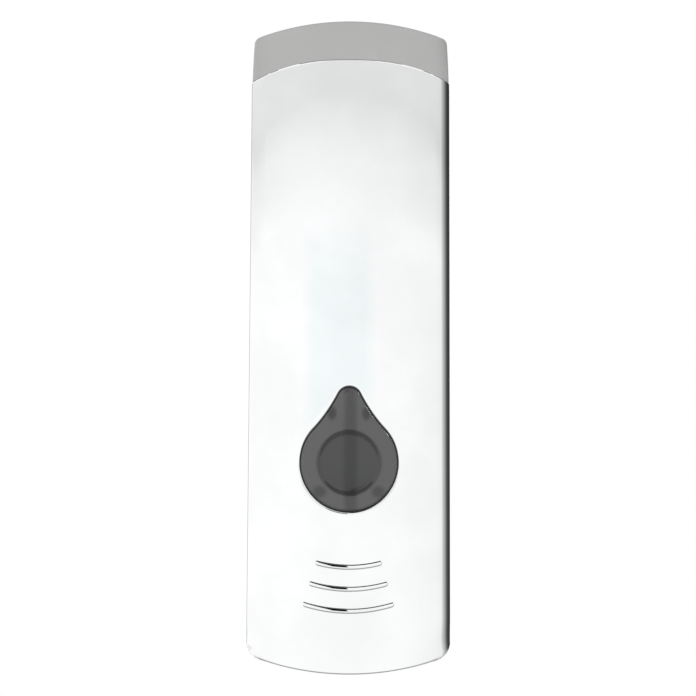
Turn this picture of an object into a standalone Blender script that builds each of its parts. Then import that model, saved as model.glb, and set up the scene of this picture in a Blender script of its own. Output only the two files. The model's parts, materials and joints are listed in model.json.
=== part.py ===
"""Wall-mounted pump soap dispenser with a hinged lid, a snap-on cover and a push button.

Metres, +Z up. The wall is the plane y = 0, the front faces -Y, and the origin is the middle of the
wall face. The part is modelled at rest, with its lid shut and its button out.
"""

import math

import bmesh
import bpy
from mathutils import Matrix, Vector

# Outside form, seen from the front
BODY_HEIGHT = 0.2586
BODY_WIDTH_LOW = 0.0813
BODY_WIDTH_HIGH = 0.0782
TOP_DRAW = 0.0014
TOP_DRAW_HEIGHT = 0.0296
BODY_DEPTH = 0.0750
TOP_ARCH_RADIUS = 0.112
BOTTOM_ARCH_RADIUS = 0.117
TOP_CORNER_RADIUS = 0.0032
BOTTOM_CORNER_RADIUS = 0.0075
# Outside form, seen from above
FRONT_BOW_RADIUS = 0.090
SIDE_FILLET_RADIUS = 0.0090
TOP_FILLET = 0.0010
BOTTOM_FILLET = 0.0010
HOUSING_DEPTH = 0.0220
# Fits
FIT_GAP = 0.0003
LOOSE_GAP = 0.0008
CUT_OVERRUN = 0.0100
MILLIMETRE = 0.001
# Lid
LID_CENTRE_HEIGHT = 0.0155
LID_SEAM_FALL = 0.0087
LID_SEAM_CURVE = 2.5
LID_STEP_IN = 0.0002
LID_WALL = 0.0020
LID_REAR_Y = -0.0058
LID_SEAM_GAP = 0.0003
LID_PIVOT_Y = -0.0165
LID_PIVOT_DROP = 0.0122
LID_SKIRT_SWING_RADIUS = 0.0108
LID_BOSS_RADIUS = 0.0038
HINGE_PIN_RADIUS = 0.0015
HINGE_EAR_THICKNESS = 0.0030
HINGE_EAR_RADIUS = 0.0040
HINGE_EAR_INSET = 0.0062
# Cover
COVER_WALL = 0.0022
COVER_SEAM_GAP = 0.0003
RIB_HEIGHT = 0.0010
RIB_THICKNESS = 0.0018
RIB_PITCH = 0.0082
RIB_WIDTHS = (0.0267, 0.0316, 0.0365)
RIB_SAGS = (0.0018, 0.0023, 0.0028)
RIB_LOWEST_ABOVE_BOTTOM = 0.0279
RIB_END_SHARE = 0.04
NOZZLE_HOLE_RADIUS = 0.0105
TONGUE_THICKNESS = 0.0014
TONGUE_LENGTH = 0.0040
# Teardrop button
BUTTON_ABOVE_BOTTOM = 0.0838
BUTTON_RADIUS = 0.0191
BUTTON_TIP_RADIUS = 0.0045
BUTTON_TIP_RISE = 0.0253
BUTTON_FLANK_HOLLOW = 0.0009
BUTTON_TRAVEL = 0.0080
BUTTON_CROWN = 0.0004
BUTTON_SKIRT_DEPTH = 0.0090
BUTTON_FACE_THICKNESS = 0.0022
BUTTON_WALL = 0.0014
BUTTON_FLANGE_WIDTH = 0.0014
BUTTON_FLANGE_THICKNESS = 0.0014
BUTTON_OPENING_GAP = 0.0004
BUTTON_COLLAR_WALL = 0.0014
FINGER_DISH_RADIUS = 0.0131
FINGER_DISH_DEPTH = 0.0015
DISH_EDGE_RISE = 0.0003
DISH_WALL_WIDTH = 0.0018
# Back housing
BACK_PLATE = 0.0030
HOUSING_TOP_DROP = 0.0006
TAPE_WIDTH = 0.0460
TAPE_HEIGHT = 0.0260
TAPE_THICKNESS = 0.0010
TAPE_FROM_END = 0.0475
TAPE_CORNER_RADIUS = 0.0020
# Screw posts and pump bracket
POST_RADIUS = 0.0036
POST_HOLE_RADIUS = 0.0013
POST_HOLE_DEPTH = 0.0120
POST_SPREAD = 0.0500
POST_HIGH = 0.0200
POST_LOW = 0.0260
POST_WEB = 0.0014
BRACKET_FRONT_Y = -0.0440
BRACKET_THICKNESS = 0.0024
BRACKET_WIDTH = 0.0610
BRACKET_MARGIN = 0.0055
BRACKET_CORNER_RADIUS = 0.0040
BRACKET_LEG_SPREAD = 0.0280
BRACKET_LEG_WIDTH = 0.0060
SCREW_RADIUS = 0.0012
SCREW_HEAD_RADIUS = 0.0026
SCREW_HEAD_HEIGHT = 0.0018
SCREW_LENGTH = 0.0120
SCREW_CROSS_WIDTH = 0.0007
SCREW_CROSS_LENGTH = 0.0026
SCREW_CROSS_DEPTH = 0.0008
SCREW_CROWN_SHARE = 0.6
# Soap chamber
CHAMBER_INSET = 0.0046
CHAMBER_WALL = 0.0016
CHAMBER_REAR_Y = -0.0040
CHAMBER_TOP_DROP = 0.0130
CHAMBER_SHOULDER_RISE = 0.0553
CHAMBER_SHOULDER = 0.0040
CHAMBER_REAR_CORNER = 0.0060
CHAMBER_LEDGE_WIDTH = 0.0034
CHAMBER_LEDGE_HEIGHT = 0.0036
NECK_RADIUS = 0.0060
NECK_BORE_RADIUS = 0.0042
NECK_TOP = 0.0315
NECK_BOTTOM = 0.0210
SEAL_WIRE_RADIUS = 0.0007
NECK_SEAL_HEIGHT = 0.0250
# Pump, heights measured from its axis
PUMP_BORE_RADIUS = 0.0080
PUMP_WALL = 0.0020
PUMP_REAR_Y = -0.0150
PUMP_FLANGE_THICKNESS = 0.0024
PUMP_FLANGE_WIDTH = 0.0420
PUMP_FLANGE_HEIGHT = 0.0150
PUMP_SCREW_SPREAD = 0.0330
PUMP_SCREW_LENGTH = 0.0046
VALVE_Y = -0.0195
SOCKET_RADIUS = 0.0080
SOCKET_WALL = 0.0016
SOCKET_TOP = 0.0300
CAGE_RADIUS = 0.0042
CAGE_FLOOR = 0.0122
BALL_RADIUS = 0.0030
INLET_LIFT = 0.0016
PORT_RADIUS = 0.0022
BYPASS_WIDTH = 0.0014
SEAT_THICKNESS = 0.0022
OUTLET_TOWER_RADIUS = 0.0068
OUTLET_TOWER_BOTTOM = -0.0225
OUTLET_BORE_RADIUS = 0.0046
OUTLET_SEAT = -0.0120
OUTLET_PORT_RADIUS = 0.0020
OUTLET_CAP_WALL = 0.0016
OUTLET_CAP_TOP = -0.0140
OUTLET_CAP_FLOOR = -0.0260
BARB_RADIUS = 0.0023
BARB_BORE_RADIUS = 0.0014
BARB_LENGTH = 0.0062
BARB_RIDGE = 0.0002
# Piston
END_CAP_RADIUS = 0.0095
END_CAP_THICKNESS = 0.0027
END_CAP_SPIGOT = 0.0060
PISTON_ROD_RADIUS = 0.0030
PISTON_LENGTH = 0.0050
PISTON_GAP = 0.0003
PISTON_GROOVE_DEPTH = 0.0016
PISTON_GROOVE_LENGTH = 0.0022
PISTON_SEAL_GAP = 0.0001
WIPER_WIDTH = 0.0018
# Springs
SPRING_WIRE_RADIUS = 0.0005
SPRING_COIL_RADIUS = 0.0064
SPRING_TURNS = 5.0
OUTLET_SPRING_WIRE_RADIUS = 0.00028
OUTLET_SPRING_COIL_RADIUS = 0.0021
OUTLET_SPRING_TURNS = 4.0
SPRING_POINTS_PER_TURN = 10
# Button carrier
CARRIER_THICKNESS = 0.0022
CARRIER_POST_RADIUS = 0.0019
CARRIER_PEG_RADIUS = 0.0011
CARRIER_PEG_PLACES = ((-0.0048, 0.0196), (0.0048, 0.0196), (-0.0113, -0.0112), (0.0113, -0.0112))
CARRIER_POST_PLACES = ((-0.0070, 0.0198), (0.0070, 0.0198), (-0.0113, -0.0114), (0.0113, -0.0114))
CARRIER_HOOK_LENGTH = 0.0018
CARRIER_HOOK_REACH = 0.0009
GUIDE_WALL = 0.0010
SPRING_CUP_WALL = 0.0010
SPRING_CUP_DEPTH = 0.0020
# Nozzle and hose
NOZZLE_Y = -0.0540
NOZZLE_SHELF_ABOVE_BOTTOM = 0.0190
NOZZLE_SHELF_THICKNESS = 0.0024
NOZZLE_SHELF_LENGTH = 0.0190
NOZZLE_SHELF_WIDTH = 0.0340
NOZZLE_STEM_RADIUS = 0.0040
NOZZLE_FLANGE_RADIUS = 0.0070
NOZZLE_FLANGE_THICKNESS = 0.0016
NOZZLE_TIP_ABOVE_BOTTOM = 0.0014
NOZZLE_RADIUS = 0.0054
NOZZLE_TIP_RADIUS = 0.0048
NOZZLE_BORE_RADIUS = 0.0032
NOZZLE_NUT_WIDTH = 0.0120
NOZZLE_NUT_HEIGHT = 0.0034
HOSE_RADIUS = 0.0038
HOSE_BORE_RADIUS = 0.0028
HOSE_OVERLAP = 0.0070
HOSE_PULL_SHARE = 0.45

STEPS_ARCH = 16
STEPS_CORNER = 4
STEPS_SIDE = 5
STEPS_FILLET = 4
STEPS_ROUND = 24
STEPS_SMALL_ROUND = 14

Z_TOP = BODY_HEIGHT / 2
Z_BOTTOM = -BODY_HEIGHT / 2
SEAM_CENTRE_Z = Z_TOP - LID_CENTRE_HEIGHT
SEAM_SIDE_Z = SEAM_CENTRE_Z - LID_SEAM_FALL
LID_PIVOT_Z = Z_TOP - LID_PIVOT_DROP
BUTTON_Z = Z_BOTTOM + BUTTON_ABOVE_BOTTOM
CHAMBER_SHOULDER_Z = BUTTON_Z + CHAMBER_SHOULDER_RISE
TAPE_Z = Z_TOP - TAPE_FROM_END
FRONT_Y = -BODY_DEPTH

LID_PIECES = ("lid", "hinge_pin_left", "hinge_pin_right")
BUTTON_PIECES = ("push_button", "button_carrier", "piston", "piston_seal")
COLLECTION_NAME = "soap_dispenser"
CUTTER_COLLECTION_NAME = "cutters"


def clear_scene():
    for item in list(bpy.data.objects):
        bpy.data.objects.remove(item, do_unlink=True)


def collection(name):
    made = bpy.data.collections.new(name)
    bpy.context.scene.collection.children.link(made)
    return made


def material(name, colour, roughness, metallic=0.0, alpha=1.0):
    made = bpy.data.materials.new(name)
    made.use_nodes = True
    shader = made.node_tree.nodes["Principled BSDF"]
    shader.inputs["Base Color"].default_value = (*colour, 1.0)
    shader.inputs["Roughness"].default_value = roughness
    shader.inputs["Metallic"].default_value = metallic
    shader.inputs["Alpha"].default_value = alpha
    made.diffuse_color = (*colour, alpha)
    return made


def new_object(name, form, look=None):
    """Link a new object made from a bmesh or a mesh: a part if it has a look, and otherwise a cutter."""
    if isinstance(form, bmesh.types.BMesh):
        mesh = bpy.data.meshes.new(name)
        form.to_mesh(mesh)
        form.free()
    else:
        mesh = form
    made = bpy.data.objects.new(name, mesh)
    if look is None:
        bpy.data.collections[CUTTER_COLLECTION_NAME].objects.link(made)
        made.hide_render = True
        made.display_type = "WIRE"
    else:
        bpy.data.collections[COLLECTION_NAME].objects.link(made)
        mesh.materials.append(look)
        mesh.shade_smooth()
        mesh.set_sharp_from_angle(angle=math.radians(35))
    return made


def boolean(target, other, operation="DIFFERENCE"):
    modifier = target.modifiers.new(f"{operation.lower()} {other.name}", "BOOLEAN")
    modifier.operation = operation
    modifier.solver = "EXACT"
    modifier.object = other
    return modifier


def bridge_rings(mesh, rings, closed=True):
    """Join rings of as many vertices each with quads, the first vertex of a ring to that of the next."""
    for low, high in zip(rings, rings[1:]):
        count = len(low)
        for i in range(count if closed else count - 1):
            j = (i + 1) % count
            mesh.faces.new((low[i], low[j], high[j], high[i]))


def box_mesh(low, high):
    mesh = bmesh.new()
    centre = (Vector(low) + Vector(high)) / 2
    size = Vector(high) - Vector(low)
    place = Matrix.Translation(centre) @ Matrix.Diagonal((*size, 1.0))
    bmesh.ops.create_cube(mesh, size=1.0, matrix=place)
    return mesh


def prism_mesh(outline, start, end, axis="Y"):
    """A closed solid from an outline of the two other coordinates, in order, run along an axis."""
    mesh = bmesh.new()
    ends = []
    for level in (start, end):
        if axis == "Y":
            ends.append([mesh.verts.new((a, level, b)) for a, b in outline])
        elif axis == "X":
            ends.append([mesh.verts.new((level, a, b)) for a, b in outline])
        else:
            ends.append([mesh.verts.new((a, b, level)) for a, b in outline])
    bridge_rings(mesh, ends)
    mesh.faces.new(ends[0])
    mesh.faces.new(list(reversed(ends[1])))
    bmesh.ops.recalc_face_normals(mesh, faces=mesh.faces)
    return mesh


def rod_mesh(radius, start, end, steps=STEPS_ROUND, end_radius=None):
    """A cylinder, or a cone where the end radius differs, between two points."""
    mesh = bmesh.new()
    start = Vector(start)
    run = Vector(end) - start
    turn = run.to_track_quat("Z", "Y").to_matrix().to_4x4()
    bmesh.ops.create_cone(
        mesh,
        cap_ends=True,
        segments=steps,
        radius1=radius,
        radius2=radius if end_radius is None else end_radius,
        depth=run.length,
        matrix=Matrix.Translation(start + run / 2) @ turn,
    )
    return mesh


def turned(name, profile, place, axis="Z", look=None, steps=STEPS_ROUND):
    """A turned piece from a closed profile of (radius, height) pairs that runs down its outer side."""
    mesh = bmesh.new()
    corners = [mesh.verts.new((radius, 0, height)) for radius, height in profile]
    closed = min(radius for radius, _ in profile) > 0
    for i in range(len(corners) if closed else len(corners) - 1):
        mesh.edges.new((corners[i], corners[(i + 1) % len(corners)]))
    made = new_object(name, mesh, look)
    made.location = place
    if axis == "Y":
        made.rotation_euler = (-math.pi / 2, 0, 0)
    screw = made.modifiers.new("turn", "SCREW")
    screw.steps = steps
    screw.render_steps = steps
    screw.angle = math.tau
    screw.use_merge_vertices = True
    screw.merge_threshold = 0.00001
    return made


def arc_points(centre_a, centre_b, radius, start, end, steps):
    return [
        (
            centre_a + radius * math.cos(start + (end - start) * i / steps),
            centre_b + radius * math.sin(start + (end - start) * i / steps),
        )
        for i in range(steps + 1)
    ]


def half_width(z):
    """Half the width at a level: it tapers evenly, and the lid's sides draw in towards the top."""
    rise = (z - Z_BOTTOM) / BODY_HEIGHT
    draw = max(z - Z_TOP + TOP_DRAW_HEIGHT, 0) / TOP_DRAW_HEIGHT
    return (BODY_WIDTH_LOW + (BODY_WIDTH_HIGH - BODY_WIDTH_LOW) * rise) / 2 - TOP_DRAW * draw**2


def face_half_width(z, inset):
    """Where the bowed front ends and the fillet to the side starts."""
    spread = (FRONT_BOW_RADIUS - inset) / (FRONT_BOW_RADIUS - SIDE_FILLET_RADIUS)
    return (half_width(z) - SIDE_FILLET_RADIUS) * spread


def front_y(x, inset=0.0):
    centre = FRONT_Y + FRONT_BOW_RADIUS
    return centre - math.sqrt((FRONT_BOW_RADIUS - inset) ** 2 - x**2)


def plan_y(x, z, inset):
    """Depth of the form's plan at a level: the bowed front, and past its ends the fillets to the sides."""
    fillet = max(SIDE_FILLET_RADIUS - inset, FIT_GAP)
    middle_x = half_width(z) - inset - fillet
    if abs(x) <= face_half_width(z, inset):
        return front_y(x, inset)
    reach = FRONT_BOW_RADIUS - inset - fillet
    middle_y = FRONT_Y + FRONT_BOW_RADIUS - math.sqrt(reach**2 - middle_x**2)
    return middle_y - math.sqrt(max(fillet**2 - (abs(x) - middle_x) ** 2, 0))


def seam_z(x):
    """Height of the seam between lid and cover, an arch that falls faster towards the sides."""
    edge = half_width(SEAM_SIDE_Z)
    return SEAM_CENTRE_Z - LID_SEAM_FALL * min(abs(x) / edge, 1) ** LID_SEAM_CURVE


def corner_centre(width_at, arch_radius, corner_radius, is_top):
    """Centre of the rounding between a side and an arch, on the right."""
    arch_z = Z_TOP - TOP_ARCH_RADIUS if is_top else Z_BOTTOM + BOTTOM_ARCH_RADIUS
    z = Z_TOP if is_top else Z_BOTTOM
    for _ in range(12):
        x = width_at(z) - corner_radius
        fall = math.sqrt((arch_radius - corner_radius) ** 2 - x**2)
        z = arch_z + fall if is_top else arch_z - fall
    return x, z, arch_z


def body_outline(width_at, top_inset, bottom_inset, top_corner, bottom_corner):
    """Outline seen from the front as four runs: left side down, bottom, right side up and top."""
    top_radius = TOP_ARCH_RADIUS - top_inset
    bottom_radius = BOTTOM_ARCH_RADIUS - bottom_inset
    top_x, top_z, top_arch_z = corner_centre(width_at, top_radius, top_corner, True)
    low_x, low_z, low_arch_z = corner_centre(width_at, bottom_radius, bottom_corner, False)
    top_turn = math.atan2(top_z - top_arch_z, top_x)
    low_turn = math.atan2(low_z - low_arch_z, low_x)
    upper = arc_points(top_x, top_z, top_corner, 0, top_turn, STEPS_CORNER)
    lower = arc_points(low_x, low_z, bottom_corner, low_turn, 0, STEPS_CORNER)
    half = STEPS_CORNER // 2
    rise = [
        (width_at(low_z + (top_z - low_z) * i / STEPS_SIDE), low_z + (top_z - low_z) * i / STEPS_SIDE)
        for i in range(1, STEPS_SIDE)
    ]
    right = lower[half:] + rise + upper[: half + 1]
    over = arc_points(0, top_arch_z, top_radius, top_turn, math.pi - top_turn, STEPS_ARCH)
    top = upper[half:-1] + over + [(-x, z) for x, z in reversed(upper[half:-1])]
    under = arc_points(0, low_arch_z, bottom_radius, -math.pi - low_turn, low_turn, STEPS_ARCH)
    bottom = [(-x, z) for x, z in reversed(lower[1 : half + 1])] + under + lower[1 : half + 1]
    left = [(-x, z) for x, z in reversed(right)]
    return left, bottom, right, top


def side_weights():
    """For each vertex of the outline, 1 where the side's fillet rules and 0 where the arch's does."""
    fade = [0.5 - 0.5 * math.cos(math.pi * i / STEPS_CORNER) for i in range(STEPS_CORNER + 1)]
    half = STEPS_CORNER // 2
    column = fade[half:] + [1.0] * (STEPS_SIDE - 1) + fade[half:][::-1]
    row = fade[: half + 1][::-1] + [0.0] * (STEPS_ARCH - 1) + fade[: half + 1]
    return (column[:-1] + row[:-1]) * 2


def fillet_curve(outer, outer_y, inner, inset, step):
    """A point on the rounding from the side wall at the outline to the bowed front."""
    inner_y = front_y(inner[0], inset)
    across = inner[0] - outer[0]
    slope = inner[0] / math.sqrt((FRONT_BOW_RADIUS - inset) ** 2 - inner[0] ** 2)
    knee_y = inner_y - slope * across
    run = math.hypot(across, inner[1] - outer[1])
    turn = math.pi / 2 - math.atan2(abs(knee_y - inner_y), run)
    pull = 4 / 3 * math.tan(turn / 4) / math.tan(turn / 2)
    start = Vector((outer[0], outer_y, outer[1]))
    knee = Vector((outer[0], knee_y, outer[1]))
    end = Vector((inner[0], inner_y, inner[1]))
    first = start.lerp(knee, pull)
    second = end.lerp(knee, pull)
    back = 1 - step
    return start * back**3 + first * (3 * back**2 * step) + second * (3 * back * step**2) + end * step**3


def body_form(inset, back_y):
    """The whole outer form, drawn in by an inset, as one closed loft from its back to its bowed front."""
    outer_runs = body_outline(
        lambda z: half_width(z) - inset,
        inset,
        inset,
        max(TOP_CORNER_RADIUS - inset, FIT_GAP),
        max(BOTTOM_CORNER_RADIUS - inset, FIT_GAP),
    )
    top_fillet = max(TOP_FILLET - inset, FIT_GAP)
    bottom_fillet = max(BOTTOM_FILLET - inset, FIT_GAP)
    inner_runs = body_outline(
        lambda z: face_half_width(z, inset),
        inset + top_fillet,
        inset + bottom_fillet,
        TOP_FILLET,
        BOTTOM_FILLET,
    )
    outer = [point for run in outer_runs for point in run[:-1]]
    inner = [point for run in inner_runs for point in run[:-1]]
    weights = side_weights()
    mesh = bmesh.new()
    rings = [[mesh.verts.new((x, back_y, z)) for x, z in outer]]
    for i in range(STEPS_FILLET + 1):
        ring = []
        for start, end, weight in zip(outer, inner, weights):
            edge = top_fillet if start[1] > 0 else bottom_fillet
            start_y = plan_y(start[0], start[1], inset) + (1 - weight) * edge
            ring.append(mesh.verts.new(fillet_curve(start, start_y, end, inset, i / STEPS_FILLET)))
        rings.append(ring)
    bridge_rings(mesh, rings)
    mesh.faces.new(list(reversed(rings[0])))
    fill_front(mesh, rings[-1], [len(run) - 1 for run in inner_runs], inset)
    bmesh.ops.recalc_face_normals(mesh, faces=mesh.faces)
    return mesh


def fill_front(mesh, ring, counts, inset):
    """Fill the bowed front with rows of quads blended from its four edges."""
    down, across = counts[0], counts[1]
    left = ring[: down + 1]
    bottom = ring[down : down + across + 1]
    right = list(reversed(ring[down + across : 2 * down + across + 1]))
    top = list(reversed(ring[2 * down + across :] + ring[:1]))
    rows = [top]
    for i in range(1, down):
        v = i / down
        row = [left[i]]
        for j in range(1, across):
            u = j / across
            point = left[i].co * (1 - u) + right[i].co * u + top[j].co * (1 - v) + bottom[j].co * v
            point -= (top[0].co * (1 - u) + top[-1].co * u) * (1 - v)
            point -= (bottom[0].co * (1 - u) + bottom[-1].co * u) * v
            row.append(mesh.verts.new((point.x, front_y(point.x, inset), point.z)))
        rows.append(row + [right[i]])
    rows.append(bottom)
    bridge_rings(mesh, rows, closed=False)


def zone_mesh(above, seam_shift):
    """Everything above or below the seam, as a prism that runs through the whole depth."""
    reach = BODY_WIDTH_LOW / 2 + CUT_OVERRUN
    end_z = Z_TOP + CUT_OVERRUN if above else Z_BOTTOM - CUT_OVERRUN
    steps = 2 * STEPS_ARCH
    edge = half_width(SEAM_SIDE_Z)
    xs = [-edge + 2 * edge * i / steps for i in range(steps + 1)]
    seam = [(-reach, SEAM_SIDE_Z + seam_shift)]
    seam += [(x, seam_z(x) + seam_shift) for x in xs]
    seam += [(reach, SEAM_SIDE_Z + seam_shift), (reach, end_z), (-reach, end_z)]
    return prism_mesh(seam, CUT_OVERRUN, FRONT_Y - CUT_OVERRUN)


def offset_outline(points, distance):
    """A closed outline moved outwards along the normals of its corners."""
    moved = []
    count = len(points)
    area = sum(
        points[i][0] * points[(i + 1) % count][1] - points[(i + 1) % count][0] * points[i][1]
        for i in range(count)
    )
    side = 1 if area > 0 else -1
    for i in range(count):
        before = Vector(points[i]) - Vector(points[i - 1])
        after = Vector(points[(i + 1) % count]) - Vector(points[i])
        run = (before.normalized() + after.normalized()).normalized()
        reach = distance / max(run.dot(after.normalized()), 0.5)
        moved.append((points[i][0] + side * run.y * reach, points[i][1] - side * run.x * reach))
    return moved


def teardrop(offset=0.0):
    """The button's outline: a round foot, slightly hollow flanks and a small round tip."""
    lean = math.asin((BUTTON_RADIUS - BUTTON_TIP_RADIUS) / BUTTON_TIP_RISE)
    hollow_turn = 4 * BUTTON_FLANK_HOLLOW / BUTTON_TIP_RISE
    tip_z = BUTTON_Z + BUTTON_TIP_RISE
    start, end = lean + hollow_turn, lean - hollow_turn
    foot = arc_points(0, BUTTON_Z, BUTTON_RADIUS, -math.pi - start, start, STEPS_ROUND)
    tip = arc_points(0, tip_z, BUTTON_TIP_RADIUS, end, math.pi - end, STEPS_SMALL_ROUND // 2)
    flank_start, flank_end = Vector(foot[-1]), Vector(tip[0])
    pull = (flank_end - flank_start).length / 3
    first = flank_start + Vector((-math.sin(start), math.cos(start))) * pull
    second = flank_end - Vector((-math.sin(end), math.cos(end))) * pull
    flank = []
    steps = STEPS_CORNER * 2
    for i in range(1, steps):
        t = i / steps
        point = flank_start * (1 - t) ** 3 + first * (3 * t * (1 - t) ** 2)
        point += second * (3 * t**2 * (1 - t)) + flank_end * t**3
        flank.append((point.x, point.y))
    outline = foot + flank + tip + [(-x, z) for x, z in reversed(flank)]
    return offset_outline(outline, offset) if offset else outline


def rounded_rectangle(width, height, radius, centre=(0.0, 0.0), steps=STEPS_CORNER):
    points = []
    for turn, (a, b) in enumerate(((1, 1), (-1, 1), (-1, -1), (1, -1))):
        corner_a = centre[0] + a * (width / 2 - radius)
        corner_b = centre[1] + b * (height / 2 - radius)
        start = turn * math.pi / 2
        points += arc_points(corner_a, corner_b, radius, start, start + math.pi / 2, steps)
    return points


def make_front_cover(look):
    """The bright shell: bowed front, sides and floor, with the teardrop opening and three raised ribs."""
    cover = new_object("front_cover", body_form(0.0, -HOUSING_DEPTH - COVER_SEAM_GAP), look)
    boolean(cover, new_object("cover_inside", body_form(COVER_WALL, CUT_OVERRUN)))
    for i, (width, sag) in enumerate(zip(RIB_WIDTHS, RIB_SAGS)):
        middle_z = Z_BOTTOM + RIB_LOWEST_ABOVE_BOTTOM + RIB_PITCH * (len(RIB_WIDTHS) - 1 - i)
        boolean(cover, new_object(f"rib_{i + 1}", rib_mesh(width, sag, middle_z)), "UNION")
    collar_back = FRONT_Y + BUTTON_SKIRT_DEPTH - BUTTON_FLANGE_THICKNESS - FIT_GAP
    collar_outline = teardrop(BUTTON_OPENING_GAP + BUTTON_COLLAR_WALL)
    collar = new_object("collar", prism_mesh(collar_outline, FRONT_Y + COVER_WALL / 2, collar_back))
    collar_limit = new_object("collar_limit", body_form(COVER_WALL / 2, CUT_OVERRUN))
    boolean(collar, collar_limit, "INTERSECT")
    boolean(cover, collar, "UNION")
    opening = prism_mesh(teardrop(BUTTON_OPENING_GAP), FRONT_Y - CUT_OVERRUN, collar_back + CUT_OVERRUN)
    boolean(cover, new_object("button_opening", opening))
    boolean(cover, new_object("cover_top_cut", zone_mesh(True, 0.0)))
    hole = rod_mesh(
        NOZZLE_HOLE_RADIUS, (0, NOZZLE_Y, Z_BOTTOM - CUT_OVERRUN), (0, NOZZLE_Y, Z_BOTTOM + CUT_OVERRUN)
    )
    boolean(cover, new_object("nozzle_hole", hole))
    return cover


def rib_mesh(width, sag, middle_z):
    """One raised rib: a sagging bar of round section laid on the bowed front."""
    mesh = bmesh.new()
    steps = STEPS_ROUND // 2
    section = STEPS_CORNER + 2
    rings = []
    for i in range(steps + 1):
        share = 2 * i / steps - 1
        x = share * width / 2
        z = middle_z - sag * (1 - share**2)
        past = max(abs(x) - width / 2 + RIB_THICKNESS, 0) / RIB_THICKNESS
        squeeze = math.sqrt(max(1 - past**2, RIB_END_SHARE))
        ring = []
        for j in range(section):
            turn = math.tau * j / section
            lift = RIB_HEIGHT * squeeze * math.sin(turn)
            ring.append(
                mesh.verts.new(
                    (x, front_y(x) - lift, z + RIB_THICKNESS / 2 * squeeze * math.cos(turn))
                )
            )
        rings.append(ring)
    bridge_rings(mesh, rings)
    mesh.faces.new(rings[0])
    mesh.faces.new(list(reversed(rings[-1])))
    bmesh.ops.recalc_face_normals(mesh, faces=mesh.faces)
    return mesh


def make_lid(look):
    """The cap over the filler mouth, with a bowed front, side skirts and a rear skirt cut round its ears."""
    lid = new_object("lid", body_form(LID_STEP_IN, LID_REAR_Y), look)
    boolean(lid, new_object("lid_inside", body_form(LID_STEP_IN + LID_WALL, LID_REAR_Y - LID_WALL)))
    boolean(lid, new_object("lid_low_cut", zone_mesh(False, LID_SEAM_GAP)))
    reach = BODY_WIDTH_LOW
    pivot = Vector((0, LID_PIVOT_Y, LID_PIVOT_Z))
    corner = new_object(
        "lid_swing_cut", box_mesh((-reach, LID_PIVOT_Y, Z_BOTTOM), (reach, CUT_OVERRUN, LID_PIVOT_Z))
    )
    side_run = Vector((2 * reach, 0, 0))
    swing = rod_mesh(LID_SKIRT_SWING_RADIUS, pivot - side_run, pivot + side_run, 2 * STEPS_ROUND)
    boolean(corner, new_object("lid_swing", swing))
    boolean(lid, corner)
    inner = ear_x() - LOOSE_GAP
    outer = ear_x() + HINGE_EAR_THICKNESS + FIT_GAP
    skirt = half_width(LID_PIVOT_Z) - LID_STEP_IN - LID_WALL / 2
    notch_top = LID_PIVOT_Z + HINGE_EAR_RADIUS + LOOSE_GAP
    for side in (-1, 1):
        notch_xs = sorted((side * inner, side * outer))
        notch = box_mesh(
            (notch_xs[0], LID_REAR_Y - LID_WALL - FIT_GAP, Z_BOTTOM),
            (notch_xs[1], LID_REAR_Y + CUT_OVERRUN, notch_top),
        )
        boolean(lid, new_object(f"ear_notch_{side}", notch))
        boss = rod_mesh(
            LID_BOSS_RADIUS,
            (side * outer, LID_PIVOT_Y, LID_PIVOT_Z),
            (side * skirt, LID_PIVOT_Y, LID_PIVOT_Z),
        )
        boolean(lid, new_object(f"lid_boss_{side}", boss), "UNION")
        hole = rod_mesh(
            HINGE_PIN_RADIUS + FIT_GAP,
            (side * (outer - LOOSE_GAP), LID_PIVOT_Y, LID_PIVOT_Z),
            (side * (skirt - FIT_GAP), LID_PIVOT_Y, LID_PIVOT_Z),
            STEPS_SMALL_ROUND,
        )
        boolean(lid, new_object(f"lid_pin_hole_{side}", hole))
    return lid


def ear_x():
    """Inner face of a hinge ear."""
    return half_width(LID_PIVOT_Z) - HINGE_EAR_INSET - HINGE_EAR_THICKNESS


def make_hinge_pins(look):
    """Two steel pins, each tight in a boss of the lid and free in an ear of the housing."""
    skirt = half_width(LID_PIVOT_Z) - LID_STEP_IN - LID_WALL / 2
    for name, side in (("hinge_pin_left", -1), ("hinge_pin_right", 1)):
        mesh = rod_mesh(
            HINGE_PIN_RADIUS,
            (side * (ear_x() - LOOSE_GAP / 2), LID_PIVOT_Y, LID_PIVOT_Z),
            (side * (skirt - 2 * FIT_GAP), LID_PIVOT_Y, LID_PIVOT_Z),
            STEPS_SMALL_ROUND,
        )
        new_object(name, mesh, look)


def hinge_ear_mesh(side):
    """An ear seen from the side: a stem off the back plate, up to a round eye at the pivot."""
    eye = arc_points(LID_PIVOT_Y, LID_PIVOT_Z, HINGE_EAR_RADIUS, 0, math.pi, STEPS_SMALL_ROUND // 2)
    foot_z = SEAM_SIDE_Z - 3 * HINGE_EAR_RADIUS
    outline = eye + [
        (LID_PIVOT_Y - HINGE_EAR_RADIUS, SEAM_SIDE_Z),
        (-BACK_PLATE / 2, foot_z),
        (-BACK_PLATE / 2, SEAM_SIDE_Z - HOUSING_TOP_DROP),
        (LID_PIVOT_Y + HINGE_EAR_RADIUS, SEAM_SIDE_Z - HOUSING_TOP_DROP),
    ]
    return prism_mesh(outline, side * ear_x(), side * (ear_x() + HINGE_EAR_THICKNESS), axis="X")


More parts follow.
